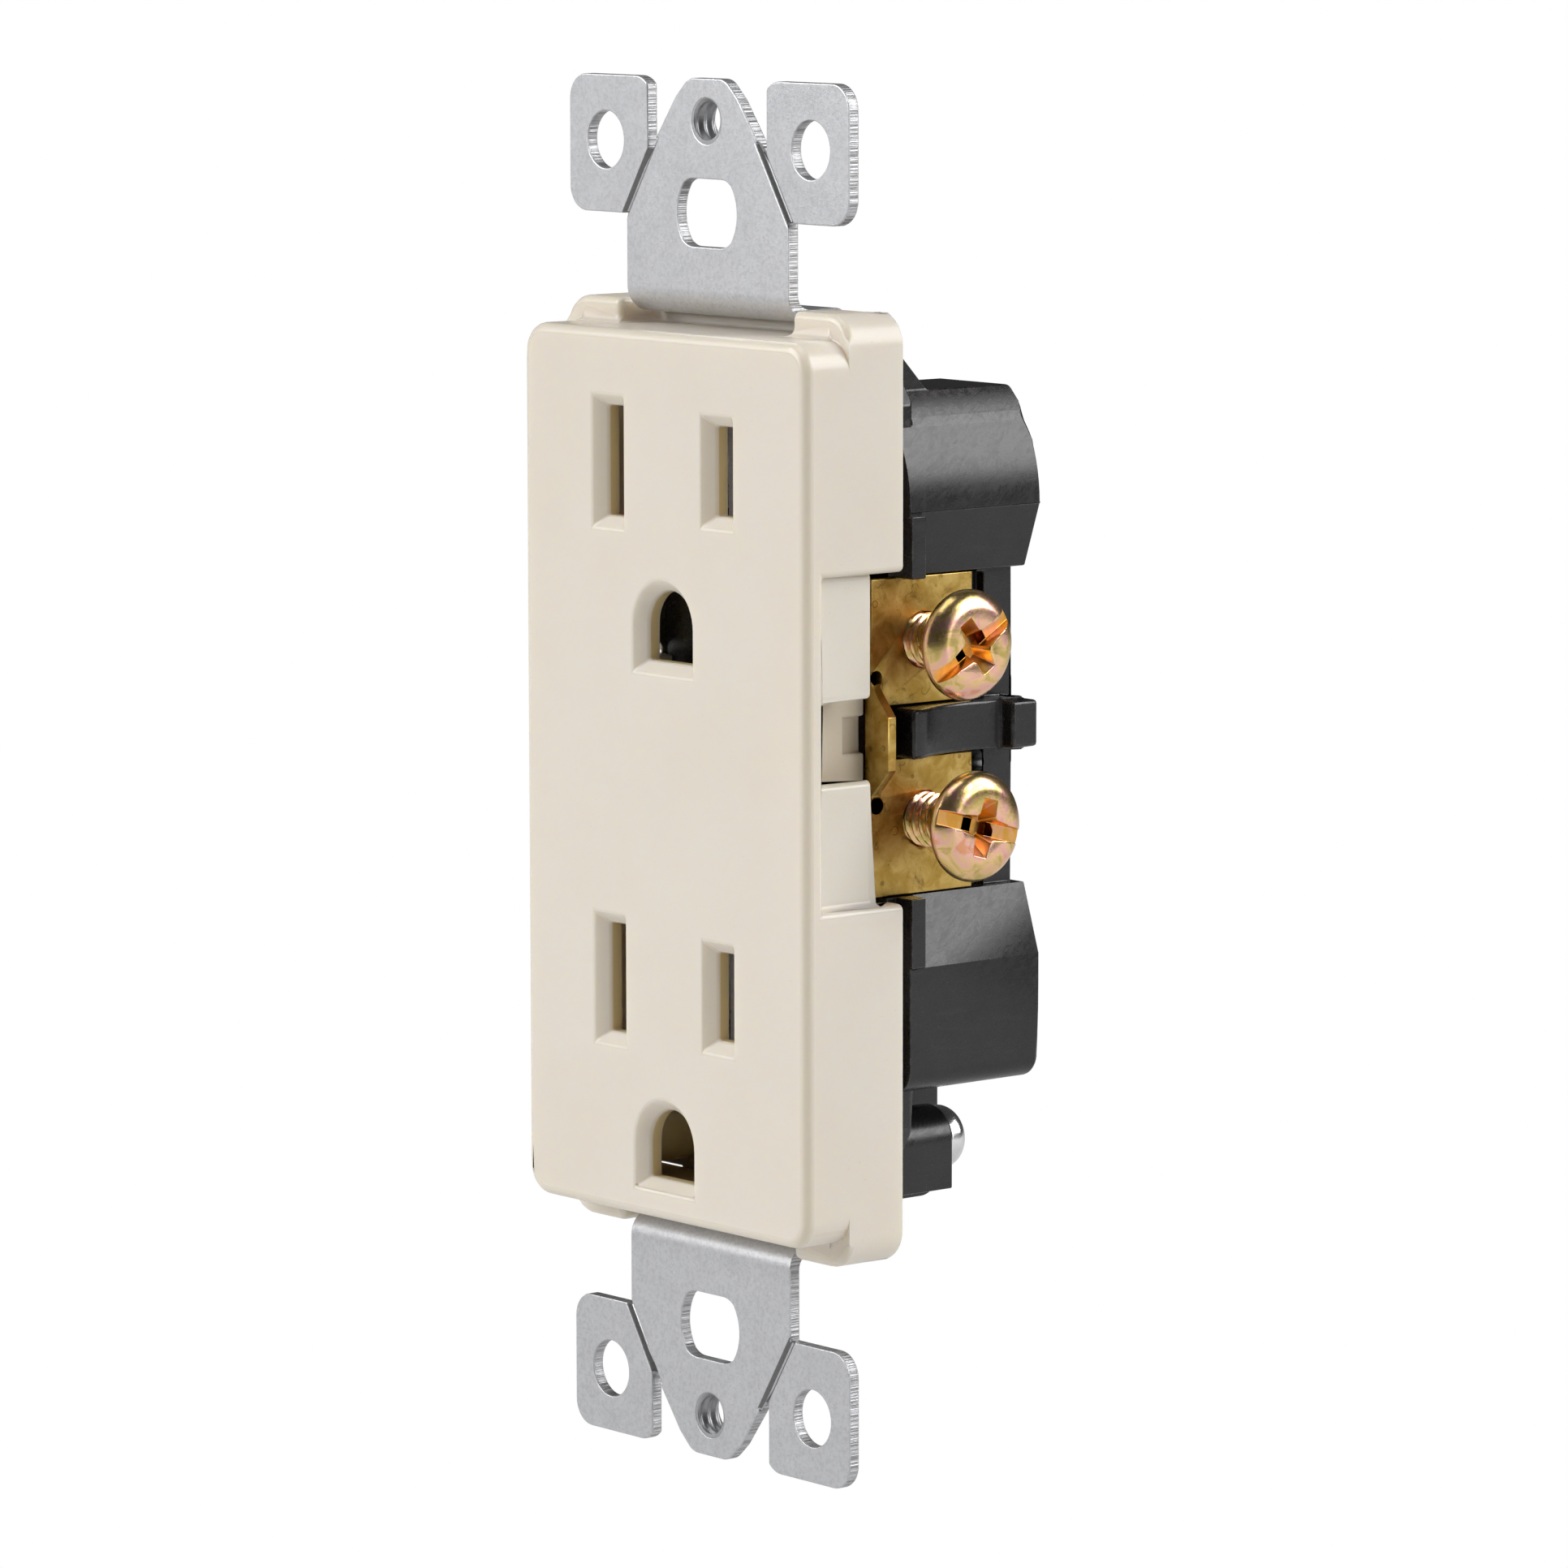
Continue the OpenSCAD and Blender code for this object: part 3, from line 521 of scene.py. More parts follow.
@dataclass
class Moulding:
    """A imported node's shape with its edges rounded, as one new piece that stands for the node."""

    node: str
    finish: Finish
    roundings: Sequence[Rounding] = ()
    trim: float = 0.12
    crease: float = 32.0
    tries: int = 5
    slack: float = 1.02
    clearing: float = 2.2
    marks: Sequence[tuple[str, Mark]] = ()
    mesh: bmesh.types.BMesh = field(init=False, repr=False)
    room: tuple[tuple[float, float], ...] = field(init=False, default=())

    def start(self) -> None:
        """Takes the node's mesh and clears its flat faces of needless edges."""
        self.mesh = bmesh.new()
        self.mesh.from_mesh(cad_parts[self.node].data)
        bmesh.ops.remove_doubles(self.mesh, verts=self.mesh.verts, dist=WELD)
        self.merge_flat(0.4)
        for layer in ("edge", "inside", "sheared", "groove"):
            self.mesh.faces.layers.float.new(layer)
        self.room = tuple((min(v.co[i] for v in self.mesh.verts), max(v.co[i] for v in self.mesh.verts))
                          for i in range(3))

    def merge_flat(self, angle: float) -> None:
        """Merges faces that meet at less than an angle in degrees."""
        bmesh.ops.dissolve_limit(self.mesh, angle_limit=math.radians(angle), verts=self.mesh.verts,
                                 edges=self.mesh.edges, use_dissolve_boundaries=False)

    def paint(self, layer: str, rule: Mark) -> None:
        """Marks faces for the finish.

        Args:
            layer: name of the mark.
            rule: takes a face's middle in millimetres and its direction, and gives the mark.
        """
        mark = self.mesh.faces.layers.float[layer]
        for face in self.mesh.faces:
            face[mark] = max(face[mark], float(rule(face.calc_center_median() / MM, face.normal)))

    def bevel(self, edges: list[bmesh.types.BMEdge], radius: float, steps: int) -> None:
        """Rounds some edges and marks the new faces as edge faces.

        Args:
            edges: edges to round.
            radius: radius in millimetres.
            steps: faces across the rounding.
        """
        picked = [e.index for e in edges]
        surface = BVHTree.FromBMesh(self.mesh)
        for _ in range(self.tries):
            if not picked:
                return
            trial = self.mesh.copy()
            trial.edges.ensure_lookup_table()
            made = bmesh.ops.bevel(trial, geom=[trial.edges[i] for i in picked], offset=radius * MM,
                                   offset_type="OFFSET", segments=steps, profile=0.5, affect="EDGES",
                                   clamp_overlap=False, loop_slide=True)
            layer = trial.faces.layers.float["edge"]
            for face in made["faces"]:
                face[layer] = 1.0
            reach = self.slack * radius * MM
            far = [(v, surface.find_nearest(v.co)[3]) for v in trial.verts]
            strays = [v for v, distance in far if distance is None or distance > reach]
            if not strays:
                self.mesh.free()
                self.mesh = trial
                return
            roots = [e.other_vert(v).co.copy() for v in strays for e in v.link_edges]
            roots = [root for root in roots if math.isfinite(root.length)]
            trial.free()
            self.mesh.edges.ensure_lookup_table()
            near = self.clearing * radius * MM
            left = [i for i in picked if all(
                (v.co - root).length > near for v in self.mesh.edges[i].verts for root in roots)]
            if len(left) == len(picked):
                break
            LOG.debug("%s: %d of %d edges kept sharp", self.node, len(picked) - len(left), len(picked))
            picked = left
        if radius > 0.1:
            self.bevel([self.mesh.edges[i] for i in picked], radius / 2, steps)

    def round_off(self) -> None:
        """Rounds the edges that the rules pick, and then every other sharp edge a little."""
        sharp = math.radians(self.crease)

        def is_sharp(edge: bmesh.types.BMEdge) -> bool:
            """Whether the faces beside an edge meet at a sharp angle."""
            return edge.is_manifold and edge.calc_face_angle(0.0) > sharp

        for rounding in self.roundings:
            self.mesh.edges.index_update()
            self.mesh.edges.ensure_lookup_table()
            picked = [e for e in self.mesh.edges if is_sharp(e) and rounding.rule(e)]
            self.bevel(picked, rounding.radius, rounding.steps)
        if self.trim:
            self.mesh.edges.index_update()
            self.mesh.edges.ensure_lookup_table()
            self.bevel([e for e in self.mesh.edges if is_sharp(e)], self.trim, 2)
        for vert in self.mesh.verts:
            vert.co = [min(high, max(low, c)) for c, (low, high) in zip(vert.co, self.room)]
        bmesh.ops.dissolve_degenerate(self.mesh, dist=WELD, edges=self.mesh.edges)
        self.merge_flat(0.3)
        bmesh.ops.triangulate(self.mesh, faces=self.tangled(), ngon_method="EAR_CLIP")

    def tangled(self) -> list[bmesh.types.BMFace]:
        """Faces that would be drawn over their own holes and so have to be split with care."""
        drawn: dict[bmesh.types.BMFace, float] = {}
        for corners in self.mesh.calc_loop_triangles():
            a, b, c = (corner.vert.co for corner in corners)
            face = corners[0].face
            drawn[face] = drawn.get(face, 0.0) + (b - a).cross(c - a).length / 2
        return [f for f, area in drawn.items()
                if len(f.verts) > 4 and abs(area - f.calc_area()) > 0.003 * f.calc_area()]

    def finish_piece(self) -> bpy.types.Object:
        """Makes the object, with its material and body."""
        piece = to_object(self.node + "_piece", self.mesh, self.finish, ROOT)
        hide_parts(self.node)
        return piece

    def make(self) -> bpy.types.Object:
        """Rounds the node, marks its faces and makes the piece in one go."""
        self.start()
        self.round_off()
        self.mesh.normal_update()
        for layer, rule in self.marks:
            self.paint(layer, rule)
        return self.finish_piece()


def join_rows(mesh: bmesh.types.BMesh, rows: list[list[bmesh.types.BMVert]]) -> None:
    """Skins closed rings of vertices into a tube and caps both ends.

    Args:
        mesh: mesh that holds the rings.
        rows: rings from the bottom up, with as many vertices each.
    """
    steps = len(rows[0])
    for lower, upper in zip(rows, rows[1:]):
        for i in range(steps):
            k = (i + 1) % steps
            mesh.faces.new((lower[i], lower[k], upper[k], upper[i]))
    mesh.faces.new(rows[0][::-1])
    mesh.faces.new(rows[-1])
    mesh.normal_update()


def frustum(outline: Sequence[tuple[float, float]], low: float, spread: float, shrink: float,
            high: float) -> bmesh.types.BMesh:
    """Prism that narrows downwards.

    Args:
        outline: corners in order, anticlockwise.
        low: height of the bottom.
        spread: scale of the outline at the top.
        shrink: scale of the outline at the bottom.
        high: height of the top.

    Returns:
        The closed mesh.
    """
    mesh = bmesh.new()
    join_rows(mesh, [[mesh.verts.new((x * k, y * k, height)) for x, y in outline]
                     for k, height in ((shrink, low), (spread, high))])
    return mesh


def add_mesh(base: bmesh.types.BMesh, other: bmesh.types.BMesh) -> None:
    """Adds a second mesh to the first and frees it."""
    data = bpy.data.meshes.new("joined")
    other.to_mesh(data)
    other.free()
    base.from_mesh(data)
    bpy.data.meshes.remove(data)


def carve(base: bmesh.types.BMesh, cutters: Iterable[bmesh.types.BMesh]) -> bmesh.types.BMesh:
    """Cuts solids out of a solid.

    Args:
        base: solid that is cut; it is freed.
        cutters: solids to take away; they are freed.

    Returns:
        The cut mesh.
    """
    objects = []
    for mesh in (base, *cutters):
        data = bpy.data.meshes.new("carving")
        mesh.to_mesh(data)
        mesh.free()
        objects.append(bpy.data.objects.new("carving", data))
        bpy.context.scene.collection.objects.link(objects[-1])
    for cutter in objects[1:]:
        cut = objects[0].modifiers.new("cut", "BOOLEAN")
        cut.operation = "DIFFERENCE"
        cut.solver = "EXACT"
        cut.object = cutter
    bpy.context.view_layer.update()
    ready = objects[0].evaluated_get(bpy.context.evaluated_depsgraph_get())
    result = bmesh.new()
    result.from_mesh(ready.data)
    for item in objects:
        data = item.data
        bpy.data.objects.remove(item)
        bpy.data.meshes.remove(data)
    return result


def to_object(name: str, mesh: bmesh.types.BMesh, finish: Finish, body: str) -> bpy.types.Object:
    """Turns a mesh under construction into a shaded piece that rides on a body.

    Args:
        name: name of the piece.
        mesh: mesh under construction; it is freed.
        finish: finish of the piece.
        body: body that the piece rides on.

    Returns:
        The new object.
    """
    rounded = mesh.faces.layers.float.get("edge")
    for face in mesh.faces:
        face.smooth = True
    for edge in mesh.edges:
        plain = rounded is not None and not any(face[rounded] for face in edge.link_faces)
        edge.smooth = edge.calc_face_angle(0.0) < math.radians(PLAIN_CREASE if plain else ROUNDED_CREASE)
    data = bpy.data.meshes.new(name)
    mesh.to_mesh(data)
    mesh.free()
    piece = bpy.data.objects.new(name, data)
    bpy.context.scene.collection.objects.link(piece)
    weighted = piece.modifiers.new("weighted_normals", "WEIGHTED_NORMAL")
    weighted.keep_sharp = True
    data.materials.append(finish.material())
    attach(piece, body)
    return piece


# ------------------------------------------------------------------ sub-assemblies
@dataclass
class FrontCover:
    """Ivory cover with the faces of the two outlets."""

    face_round: float = 0.75
    rear_round: float = 1.7
    shoulder_round: float = 0.55
    bay_round: float = 0.45
    small_round: float = 0.18
    bay_rear: float = 3.9
    bay_depth: float = 1.05
    bay_reach: float = 20.0
    face_inset: tuple[float, float] = (2.3, 4.3)
    shoulder_drop: float = 1.95
    shoulder_in: float = 9.9
    openings: tuple[float, float] = (9.0, 31.5)
    lead_in: float = 0.85
    opening_depth: float = 9.0
    notch_in: float = 12.0
    notch_half: float = 4.2
    notch_front: float = -3.5
    notch_wall: float = 1.1

    def build(self) -> list[bpy.types.Object]:
        """Rounds the cover's edges and marks the walls inside its openings for painted shade."""
        low, high = (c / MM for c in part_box("front_cover"))
        bay_low, bay_high = (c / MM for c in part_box("hot_contact"))

        def at_face(edge: bmesh.types.BMEdge) -> bool:
            """Outline of the face."""
            m = middle(edge)
            inset_x, inset_z = self.face_inset
            at_rim = abs(m.x) > high.x - inset_x or abs(m.z) > high.z - inset_z
            return abs(m.y - low.y) < TOUCH and at_rim

        def at_shoulder_rear(edge: bmesh.types.BMEdge) -> bool:
            """Rear outer edge of a shoulder."""
            m = middle(edge)
            return abs(m.z) > high.z - TOUCH and abs(m.y - high.y) < TOUCH

        def at_shoulder(edge: bmesh.types.BMEdge) -> bool:
            """Edges of the shoulders where they rise past the face."""
            m = middle(edge)
            risen = abs(m.z) > high.z - self.shoulder_drop
            return risen and m.y < high.y - 0.1 and abs(m.x) > self.shoulder_in

        def at_bay(edge: bmesh.types.BMEdge) -> bool:
            """Outer edges of the terminal recess and its low blocks."""
            m = middle(edge)
            outer = abs(m.x) > high.x - self.bay_depth and abs(m.z) < self.bay_reach
            return outer and low.y + 0.5 < m.y < self.bay_rear

        def painted_opening_shade(place: Vector, facing: Vector) -> float:
            """Walls of the slots and ground holes behind their lead-ins, and at 0.3 the notches by the tabs:
            where painted shade goes.
            """
            if abs(place.x) < self.openings[0] and abs(place.z) < self.openings[1]:
                behind = low.y + self.lead_in < place.y < low.y + self.opening_depth
                return float(abs(facing.y) < 0.2 and behind)
            bay = (bay_low.z + bay_high.z) / 2
            beside_tab = abs(place.z - bay) < self.notch_half and place.y > self.notch_front
            return 0.3 * float(beside_tab and self.notch_in < abs(place.x) < high.x - self.notch_wall)

        cover = Moulding("front_cover", Finish.COVER, [
            Rounding(self.face_round, at_face, 5),
            Rounding(self.rear_round, at_shoulder_rear, 6),
            Rounding(self.shoulder_round, at_shoulder, 4),
            Rounding(self.bay_round, at_bay, 3),
        ], trim=self.small_round, marks=[("inside", painted_opening_shade)])
        return [cover.make()]


@dataclass
class RearBody:
    """Black body with towers, terminal bays and barriers."""

    tower_round: float = 0.4
    fin_round: float = 0.3
    boss_round: float = 1.0
    small_round: float = 0.12
    fin_in: float = 12.7
    fin_band: tuple[float, float] = (1.9, 5.9)
    tower_in: float = 13.0
    tower_front: float = 7.5
    boss_top: float = -23.0
    boss_band: tuple[float, float] = (7.0, 13.0)

    def build(self) -> list[bpy.types.Object]:
        """Rounds the body's edges."""
        low, high = (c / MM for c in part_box("rear_body"))
        bay_low, bay_high = (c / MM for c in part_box("hot_contact"))

        def at_fin(edge: bmesh.types.BMEdge) -> bool:
            """Edges of the barriers between the terminal screws."""
            m = middle(edge)
            return abs(m.x) > self.fin_in and self.fin_band[0] < m.z < self.fin_band[1]

        def at_tower_rear(edge: bmesh.types.BMEdge) -> bool:
            """Outer edges of the towers' backs, and their upright edges."""
            m = middle(edge)
            if bay_low.z + 1 < m.z < bay_high.z - 1:
                return False
            at_side = abs(m.x) > self.tower_in and m.y > self.tower_front
            return edge.is_convex and (at_side or span(edge).x > 0.9 and m.y > high.y - 1)

        def at_boss(edge: bmesh.types.BMEdge) -> bool:
            """Lower rear edge of the ground housing."""
            m = middle(edge)
            low_down = m.z < self.boss_top and self.boss_band[0] < m.y < self.boss_band[1]
            return edge.is_convex and span(edge).x > 0.9 and low_down

        body = Moulding("rear_body", Finish.BODY, [
            Rounding(self.boss_round, at_boss, 5),
            Rounding(self.fin_round, at_fin, 3),
            Rounding(self.tower_round, at_tower_rear, 4),
        ], trim=self.small_round)
        return [body.make()]


@dataclass
class MountingStrap:
    """Galvanised strap with break-off ears, score grooves and tapped holes."""

    tip_round: float = 0.6
    sheet_round: float = 0.13
    thread_pitch: float = 0.794
    thread_depth: float = 0.27
    hole_radius: float = 1.7
    hole_length: float = 2.2
    screw_pitch: float = 96.84
    tip_height: float = 2.2
    tip_half: float = 5.0
    flat_from: float = 37.5
    groove_from: float = 40.5
    groove_band: tuple[float, float] = (6.0, 10.4)
    groove_front: float = -0.5

    def tapped_hole(self, name: str, height: float, front: float) -> bpy.types.Object:
        """Thread inside a wall-plate screw hole.

        Args:
            name: name of the piece.
            height: height of the hole's axis in millimetres.
            front: front end of the thread in millimetres.

        Returns:
            The threaded sleeve.
        """
        mesh = bmesh.new()
        steps, per_turn = 48, 12
        count = int(self.hole_length / self.thread_pitch * per_turn)
        inner, outer = [], []
        for j in range(count + 1):
            at = front + self.hole_length * j / count
            row = []
            for i in range(steps):
                share = i / steps
                phase = (at / self.thread_pitch + share) % 1.0
                tooth = min(1.0, max(0.0, (1 - abs(2 * phase - 1)) * 1.4 - 0.2))
                radius = self.hole_radius - 0.02 - self.thread_depth * tooth
                angle = 2 * math.pi * share
                row.append(mesh.verts.new((radius * math.cos(angle), at, height + radius * math.sin(angle))))
            inner.append(row)
        for at in (front, front + self.hole_length):
            row = []
            for i in range(steps):
                angle = 2 * math.pi * i / steps
                row.append(mesh.verts.new((1.01 * self.hole_radius * math.cos(angle), at,
                                           height + 1.01 * self.hole_radius * math.sin(angle))))
            outer.append(row)
        rings = [outer[0], *inner, outer[1], outer[0]]
        mark = mesh.faces.layers.float.new("groove")
        for lower, upper in zip(rings, rings[1:]):
            for i in range(steps):
                k = (i + 1) % steps
                # Thread faces get groove 0.4, for painted shade.
                mesh.faces.new((lower[i], lower[k], upper[k], upper[i]))[mark] = 0.4
        bmesh.ops.recalc_face_normals(mesh, faces=mesh.faces)
        mesh.transform(Matrix.Scale(MM, 4))
        return to_object(name, mesh, Finish.STRAP, ROOT)

    def build(self) -> list[bpy.types.Object]:
        """Rounds the strap's edges, marks its cut faces and adds the threads."""
        low, high = (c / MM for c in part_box("mounting_strap"))

        def at_tip(edge: bmesh.types.BMEdge) -> bool:
            """Corners of the tongues' tips."""
            m = middle(edge)
            near_tip = abs(m.z) > high.z - self.tip_height and abs(m.x) < self.tip_half
            return near_tip and span(edge).y > 0.9

        def cut_face(place: Vector, facing: Vector) -> bool:
            """Sheared faces, which run across the sheet's thickness."""
            if abs(place.z) > self.flat_from:
                return abs(facing.y) < 0.35
            return abs(facing.x) > 0.7

        def in_groove(place: Vector, facing: Vector) -> bool:
            """Faces of the score grooves, which get painted shade."""
            slanted = 0.55 < abs(facing.y) < 0.85
            inner, outer = self.groove_band
            at_front = abs(place.z) > self.groove_from and place.y < self.groove_front
            return slanted and at_front and inner < abs(place.x) < outer

        strap = Moulding("mounting_strap", Finish.STRAP, [Rounding(self.tip_round, at_tip, 5)],
                         trim=self.sheet_round, marks=[("sheared", cut_face), ("groove", in_groove)])
        plate_z = self.screw_pitch / 2
        return [strap.make(),
                self.tapped_hole("thread_upper", plate_z, low.y + 0.05),
                self.tapped_hole("thread_lower", -plate_z, low.y + 0.05)]


@dataclass
class Contacts:
    """Terminal plates with their break-off tabs and blade contacts."""

    def build(self) -> list[bpy.types.Object]:
        """Rounds the edges of both contacts."""
        return [Moulding("hot_contact", Finish.BRASS, trim=0.1).make(),
                Moulding("neutral_contact", Finish.PLATED, trim=0.1).make()]


class Recess(Enum):
    """Ways that a screw is driven."""

    COMBINATION = "slot and cross"
    CROSS = "cross"
    SLOT = "slot"


@dataclass(frozen=True)
class ScrewKind:
    """Sizes of one kind of screw in millimetres; the head's outline is (height, radius)."""

    outline: tuple[tuple[float, float], ...]
    thread_radius: float
    root_radius: float
    pitch: float
    recess: Recess
    cross_reach: float = 2.1
    cross_depth: float = 1.5
    slot_width: float = 1.2
    slot_depth: float = 0.95
    flats: float = 0.0
    step: int = 64

    @property
    def head_height(self) -> float:
        """Height of the head over its underside."""
        return self.outline[-1][0]


TERMINAL = ScrewKind(((0.0, 3.5), (0.12, 3.78), (0.4, 4.02), (0.68, 4.1), (1.0, 4.04), (1.32, 3.86),
                      (1.6, 3.58), (1.8, 3.26), (1.93, 2.9), (1.985, 2.5), (2.0, 2.1)),
                     2.05, 1.6, 0.794, Recess.COMBINATION, cross_reach=2.25, slot_width=1.15)
GROUND = ScrewKind(((0.0, 3.9), (0.1, 4.07), (0.3, 4.1), (0.55, 4.04), (0.7, 3.9), (0.74, 3.7),
                    (0.76, 3.6), (2.1, 3.6), (2.35, 3.45), (2.5, 3.0)),
                   1.92, 1.5, 0.794, Recess.SLOT, flats=3.3, slot_width=1.1)
ASSEMBLY = ScrewKind(((0.0, 2.2), (0.12, 2.34), (0.35, 2.4), (0.95, 2.4), (1.3, 2.3), (1.65, 2.08),
                      (1.95, 1.75), (2.2, 1.3), (2.36, 0.8), (2.4, 0.4)),
                     1.5, 1.15, 1.0, Recess.CROSS, cross_reach=1.45, cross_depth=1.3)


@dataclass
class Screw:
    """One screw with a turned head, a cut recess and a real helical thread."""

    node: str
    kind: ScrewKind
    finish: Finish
    axis: Vector
    turn: float = 0.0
    body: str = ROOT
    sharp_angle: float = 34.0
    edge_round: float = 0.045
    wall_margin: float = 0.22
    rim_margin: float = 0.25

    def turned(self, outline: Sequence[tuple[float, float]]) -> bmesh.types.BMesh:
        """Turns an outline about the Z axis and closes both ends.

        Args:
            outline: (height, radius) pairs from the bottom up.

        Returns:
            The closed mesh in millimetres.
        """
        mesh = bmesh.new()
        steps = self.kind.step
        rows = []
        for height, radius in outline:
            row = []
            for i in range(steps):
                angle = 2 * math.pi * i / steps
                reach = radius
                if self.kind.flats and height > 0.75:
                    side = (angle + math.pi / 6) % (math.pi / 3) - math.pi / 6
                    reach = min(radius, self.kind.flats / math.cos(side))
                row.append(mesh.verts.new((reach * math.cos(angle), reach * math.sin(angle), height)))
            rows.append(row)
        join_rows(mesh, rows)
        return mesh

    def smooth_outline(self) -> list[tuple[float, float]]:
        """The head's outline with points added along a smooth curve."""
        points = list(self.kind.outline)
        if self.kind.flats:
            return points
        smooth = [points[0]]
        for i in range(len(points) - 1):
            p0, p1, p2, p3 = (points[max(0, min(len(points) - 1, i + k))] for k in (-1, 0, 1, 2))
            for t in (1 / 3, 2 / 3, 1.0):
                smooth.append(tuple(
                    0.5 * (2 * b + (c - a) * t + (2 * a - 5 * b + 4 * c - d) * t * t
                           + (3 * b - a - 3 * c + d) * t ** 3)
                    for a, b, c, d in zip(p0, p1, p2, p3)))
        return smooth

    def recess_cutters(self) -> list[bmesh.types.BMesh]:
        """Solids that cut the recess into the head's top, in millimetres."""
        kind = self.kind
        top = kind.head_height
        cutters = []
        if kind.recess is not Recess.CROSS:
            half = kind.slot_width / 2
            reach = kind.outline[3][1] + 1
            cutters.append(frustum([(-reach, -half), (reach, -half), (reach, half), (-reach, half)],
                                   top - kind.slot_depth, 1.0, 0.92, top + 0.3))
        if kind.recess is not Recess.SLOT:
            reach, wing = kind.cross_reach, 0.28 * kind.cross_reach
            inner = kind.cross_reach * 0.45
            cross = [(reach, -wing), (reach, wing), (inner, wing * 1.25), (wing * 1.25, inner),
                     (wing, reach), (-wing, reach), (-wing * 1.25, inner), (-inner, wing * 1.25),
                     (-reach, wing), (-reach, -wing), (-inner, -wing * 1.25), (-wing * 1.25, -inner),
                     (-wing, -reach), (wing, -reach), (wing * 1.25, -inner), (inner, -wing * 1.25)]
            cutters.append(frustum(cross, top - kind.cross_depth, 1.06, 0.5, top + 0.3))
        return cutters

    def shank(self, length: float) -> bmesh.types.BMesh:
        """Threaded shank below the head, with a blunt tip, in millimetres.

        Args:
            length: length under the head.

        Returns:
            The closed mesh.
        """
        kind = self.kind
        mesh = bmesh.new()
        steps, per_turn = 44, 10
        count = int(length / kind.pitch * per_turn)
        rows = []
        for j in range(count + 1):
            height = -length + (length + 0.15) * j / count
            row = []
            for i in range(steps):
                share = i / steps
                phase = (height / kind.pitch - share) % 1.0
                tooth = min(1.0, max(0.0, (1 - abs(2 * phase - 1)) * 1.5 - 0.22))
                fade = min(1.0, max(0.0, (height + length) / 0.9), max(0.0, (-height - 0.1) / 0.35))
                radius = kind.root_radius + (kind.thread_radius - kind.root_radius) * tooth * fade
                if height < -length + 0.25:
                    radius *= 0.86 + 0.14 * (height + length) / 0.25
                row.append(mesh.verts.new((radius * math.cos(2 * math.pi * share),
                                           radius * math.sin(2 * math.pi * share), height)))
            rows.append(row)
        join_rows(mesh, rows)
        return mesh

    def make(self) -> bpy.types.Object:
        """Builds the screw where its node lies."""
        low, high = (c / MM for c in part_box(self.node))
        middle_point = (low + high) / 2
        along = self.axis.normalized()
        total = abs(along.dot(high - low))
        tip = middle_point - along * total / 2
        underside = tip + along * (total - self.kind.head_height)
        head = carve(self.turned(self.smooth_outline()), self.recess_cutters())
        mark = head.faces.layers.float.new("inside")
        top = self.kind.head_height
        rim = self.kind.outline[3][1] - self.rim_margin
        for face in head.faces:
            centre = face.calc_center_median()
            off_axis = math.hypot(centre.x, centre.y)
            near = min(abs(centre.z - h) + abs(off_axis - r) for h, r in self.smooth_outline())
            on_top = abs(centre.z - top) < TOUCH or centre.z < 0.01
            if near > self.wall_margin and not on_top and off_axis < rim:
                face[mark] = 1.0
        least = math.radians(self.sharp_angle)
        sharp = [e for e in head.edges if e.is_manifold and e.calc_face_angle(0.0) > least]
        bmesh.ops.bevel(head, geom=sharp, offset=self.edge_round, offset_type="OFFSET", segments=2, profile=0.5,
                        affect="EDGES", clamp_overlap=False)
        bmesh.ops.triangulate(head, faces=[f for f in head.faces if len(f.verts) > 4],
                              ngon_method="EAR_CLIP")
        for vert in head.verts:
            vert.co.z = min(vert.co.z, top)
        add_mesh(head, self.shank(total - self.kind.head_height))
        quarter = Matrix.Rotation(math.radians(self.turn), 4, "Z")
        upright = along.to_track_quat("Z", "Y").to_matrix().to_4x4()
        head.transform(Matrix.Scale(MM, 4) @ Matrix.Translation(underside) @ upright @ quarter)
        piece = to_object(self.node + "_piece", head, self.finish, self.body)
        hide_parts(self.node)
        return piece


@dataclass
class TerminalScrews:
    """Side screws that clamp the wires, and the green ground screw."""

    upper_turn: float = 32.0
    lower_turn: float = -15.5
    ground_turn: float = 90.0

    def build(self) -> list[bpy.types.Object]:
        """Makes the four terminal screws and the ground screw."""
        made = []
        for side, way, finish in (("hot", 1, Finish.YELLOW), ("neutral", -1, Finish.BRIGHT)):
            for level, turn in (("upper", self.upper_turn), ("lower", self.lower_turn)):
                node = f"{side}_screw_{level}"
                made.append(Screw(node, TERMINAL, finish, Vector((way, 0, 0)), turn, node).make())
        made.append(Screw("ground_screw", GROUND, Finish.GREEN, Vector((-1, 0, 0)), self.ground_turn,
                          "ground_screw").make())
        return made


@dataclass
class InnerParts:
    """Ground contacts, rivets, assembly screws and wire clamps."""

    def build(self) -> list[bpy.types.Object]:
        """Makes the pieces."""
        made = []
        for kind, finish in (("contact", Finish.BRASS), ("rivet", Finish.BRIGHT)):
            for level in ("upper", "lower"):
                made.append(Moulding(f"ground_{kind}_{level}", finish, trim=0.08).make())
        for place, turn in (("top", 20.0), ("left", 65.0), ("right", 35.0)):
            made.append(Screw(f"assembly_screw_{place}", ASSEMBLY, Finish.BRIGHT, Vector((0, 1, 0)),
                              turn).make())
        for side in ("hot", "neutral"):
            for level in ("upper", "lower"):
                made.append(Moulding(f"wire_clamp_{side}_{level}", Finish.SPRING, trim=0.06).make())
        return made


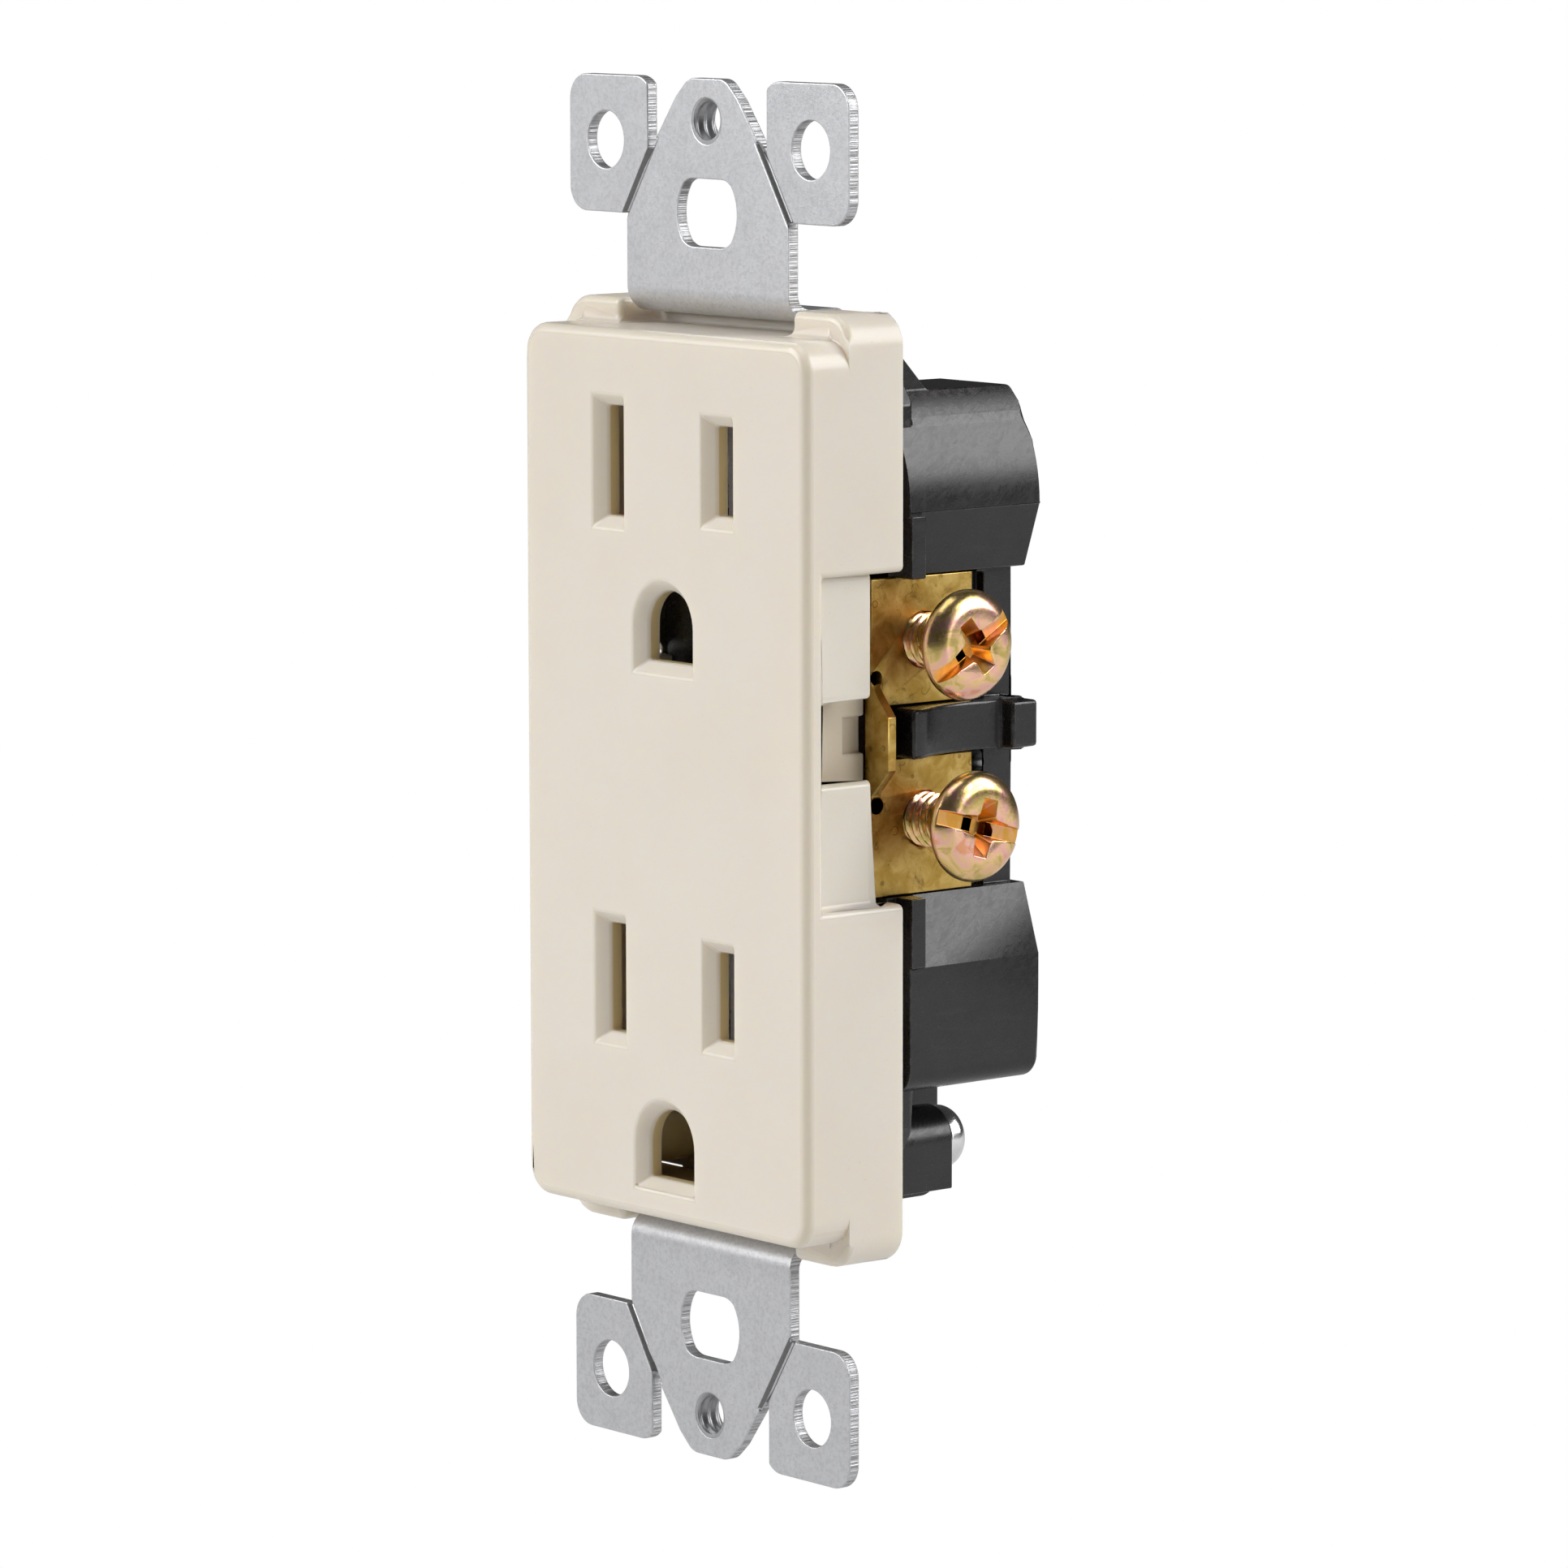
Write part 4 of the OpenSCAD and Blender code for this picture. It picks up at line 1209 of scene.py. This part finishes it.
@dataclass
class Studio:
    """White sweep, soft lights and the camera."""

    azimuth: float = 50.236
    elevation: float = 7.401
    roll: float = -0.087
    distance: float = 565.22
    aim_x: float = 5.653
    aim_z: float = -0.633
    wall_offset: float = 1.0
    lens: float = 174.85
    room: float = 0.05
    room_tint: Colour = (1.0, 0.99, 0.97)
    floor_glow: float = 0.12

    def camera_axes(self) -> tuple[Vector, Vector, Vector]:
        """Right, up and backward directions of the camera."""
        a, e, r = (math.radians(v) for v in (self.azimuth, self.elevation, self.roll))
        back = Vector((math.sin(a) * math.cos(e), -math.cos(a) * math.cos(e), math.sin(e)))
        right = Vector((math.cos(a), math.sin(a), 0.0))
        up = back.cross(right)
        return (math.cos(r) * right + math.sin(r) * up, math.cos(r) * up - math.sin(r) * right, back)

    def add_camera(self) -> None:
        """Places the camera."""
        right, up, back = self.camera_axes()
        place = right * self.aim_x + up * self.aim_z + back * self.distance
        place.y -= self.wall_offset
        data = bpy.data.cameras.new("camera")
        data.lens = self.lens
        data.sensor_width = 36.0
        data.clip_start = 0.01
        data.clip_end = 20.0
        camera = bpy.data.objects.new("camera", data)
        turn = Matrix((right, up, back)).transposed().to_4x4()
        camera.matrix_world = Matrix.Translation(place * MM) @ turn
        bpy.context.scene.collection.objects.link(camera)
        bpy.context.scene.camera = camera

    def add_light(self, name: str, place: Vector, size: tuple[float, float], power: float) -> None:
        """Adds one softbox that faces the object.

        Args:
            name: name of the light.
            place: middle of the softbox in metres.
            size: width and height in metres.
            power: power in watts.
        """
        data = bpy.data.lights.new(name, "AREA")
        data.shape = "RECTANGLE"
        data.size, data.size_y = size
        data.energy = power
        light = bpy.data.objects.new(name, data)
        turn = (-place).to_track_quat("-Z", "Y").to_matrix().to_4x4()
        light.matrix_world = Matrix.Translation(place) @ turn
        bpy.context.scene.collection.objects.link(light)

    def add_floor(self) -> None:
        """Adds the pale floor under the object: a wide round sheet that reads as white paper."""
        low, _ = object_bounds()
        mesh = bmesh.new()
        bmesh.ops.create_circle(mesh, cap_ends=True, segments=96, radius=2.5)
        bmesh.ops.translate(mesh, verts=mesh.verts, vec=(0, 0, low[2] - 0.03))
        data = bpy.data.meshes.new("floor")
        mesh.to_mesh(data)
        mesh.free()
        floor = bpy.data.objects.new("floor", data)
        bpy.context.scene.collection.objects.link(floor)
        s = Shader("pale_floor")
        seen = s.value("ShaderNodeLightPath", {}, {}, "Is Camera Ray")
        paper = s.node("ShaderNodeBsdfPrincipled", {}, {"Base Color": (0.6, 0.6, 0.6), "Roughness": 0.85,
                                                        "Emission Color": (1.0, 1.0, 1.0),
                                                        "Emission Strength": self.floor_glow})
        lit = s.node("ShaderNodeEmission", {}, {"Color": (1.0, 1.0, 1.0), "Strength": 1.0})
        blend = s.node("ShaderNodeMixShader", {}, {0: seen, 1: paper.outputs[0], 2: lit.outputs[0]})
        s.node("ShaderNodeOutputMaterial", {}, {"Surface": blend.outputs[0]})
        data.materials.append(s.material)
        floor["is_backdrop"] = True

    def build(self) -> None:
        """Sets the stage."""
        world = bpy.data.worlds.new("world")
        world.use_nodes = True
        nodes, links = world.node_tree.nodes, world.node_tree.links
        plain = nodes["Background"]
        plain.inputs[0].default_value = rgba(self.room_tint)
        plain.inputs[1].default_value = self.room
        paper = nodes.new("ShaderNodeBackground")
        paper.inputs[0].default_value = (1.0, 1.0, 1.0, 1.0)
        seen = nodes.new("ShaderNodeLightPath")
        choice = nodes.new("ShaderNodeMixShader")
        links.new(seen.outputs["Is Camera Ray"], choice.inputs[0])
        links.new(plain.outputs[0], choice.inputs[1])
        links.new(paper.outputs[0], choice.inputs[2])
        links.new(choice.outputs[0], nodes["World Output"].inputs[0])
        bpy.context.scene.world = world
        bpy.context.scene.view_settings.view_transform = "Standard"
        self.add_floor()
        for name, place, size, power in (
                ("softbox_right", (0.72, 0.65, 0.6), (0.8, 0.8), 10.5),
                ("strip_rear", (1.05, 0.35, 0.12), (0.25, 0.9), 0.9),
                ("softbox_left", (-0.55, -0.85, 0.55), (0.8, 0.8), 11.0),
                ("softbox_top", (0.0, -0.2, 1.2), (0.7, 0.7), 3.0)):
            self.add_light(name, Vector(place), size, power)
        self.add_camera()


def main() -> None:
    """Builds the pieces in order."""
    logging.basicConfig(level=logging.INFO, format="%(name)s: %(message)s")
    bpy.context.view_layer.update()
    for assembly in (FrontCover(), RearBody(), MountingStrap(), Contacts(), TerminalScrews(),
                     InnerParts()):
        for piece in assembly.build():
            LOG.info("%s: %d faces", piece.name, len(piece.data.polygons))
    Studio().build()


if __name__ == "__main__":
    main()
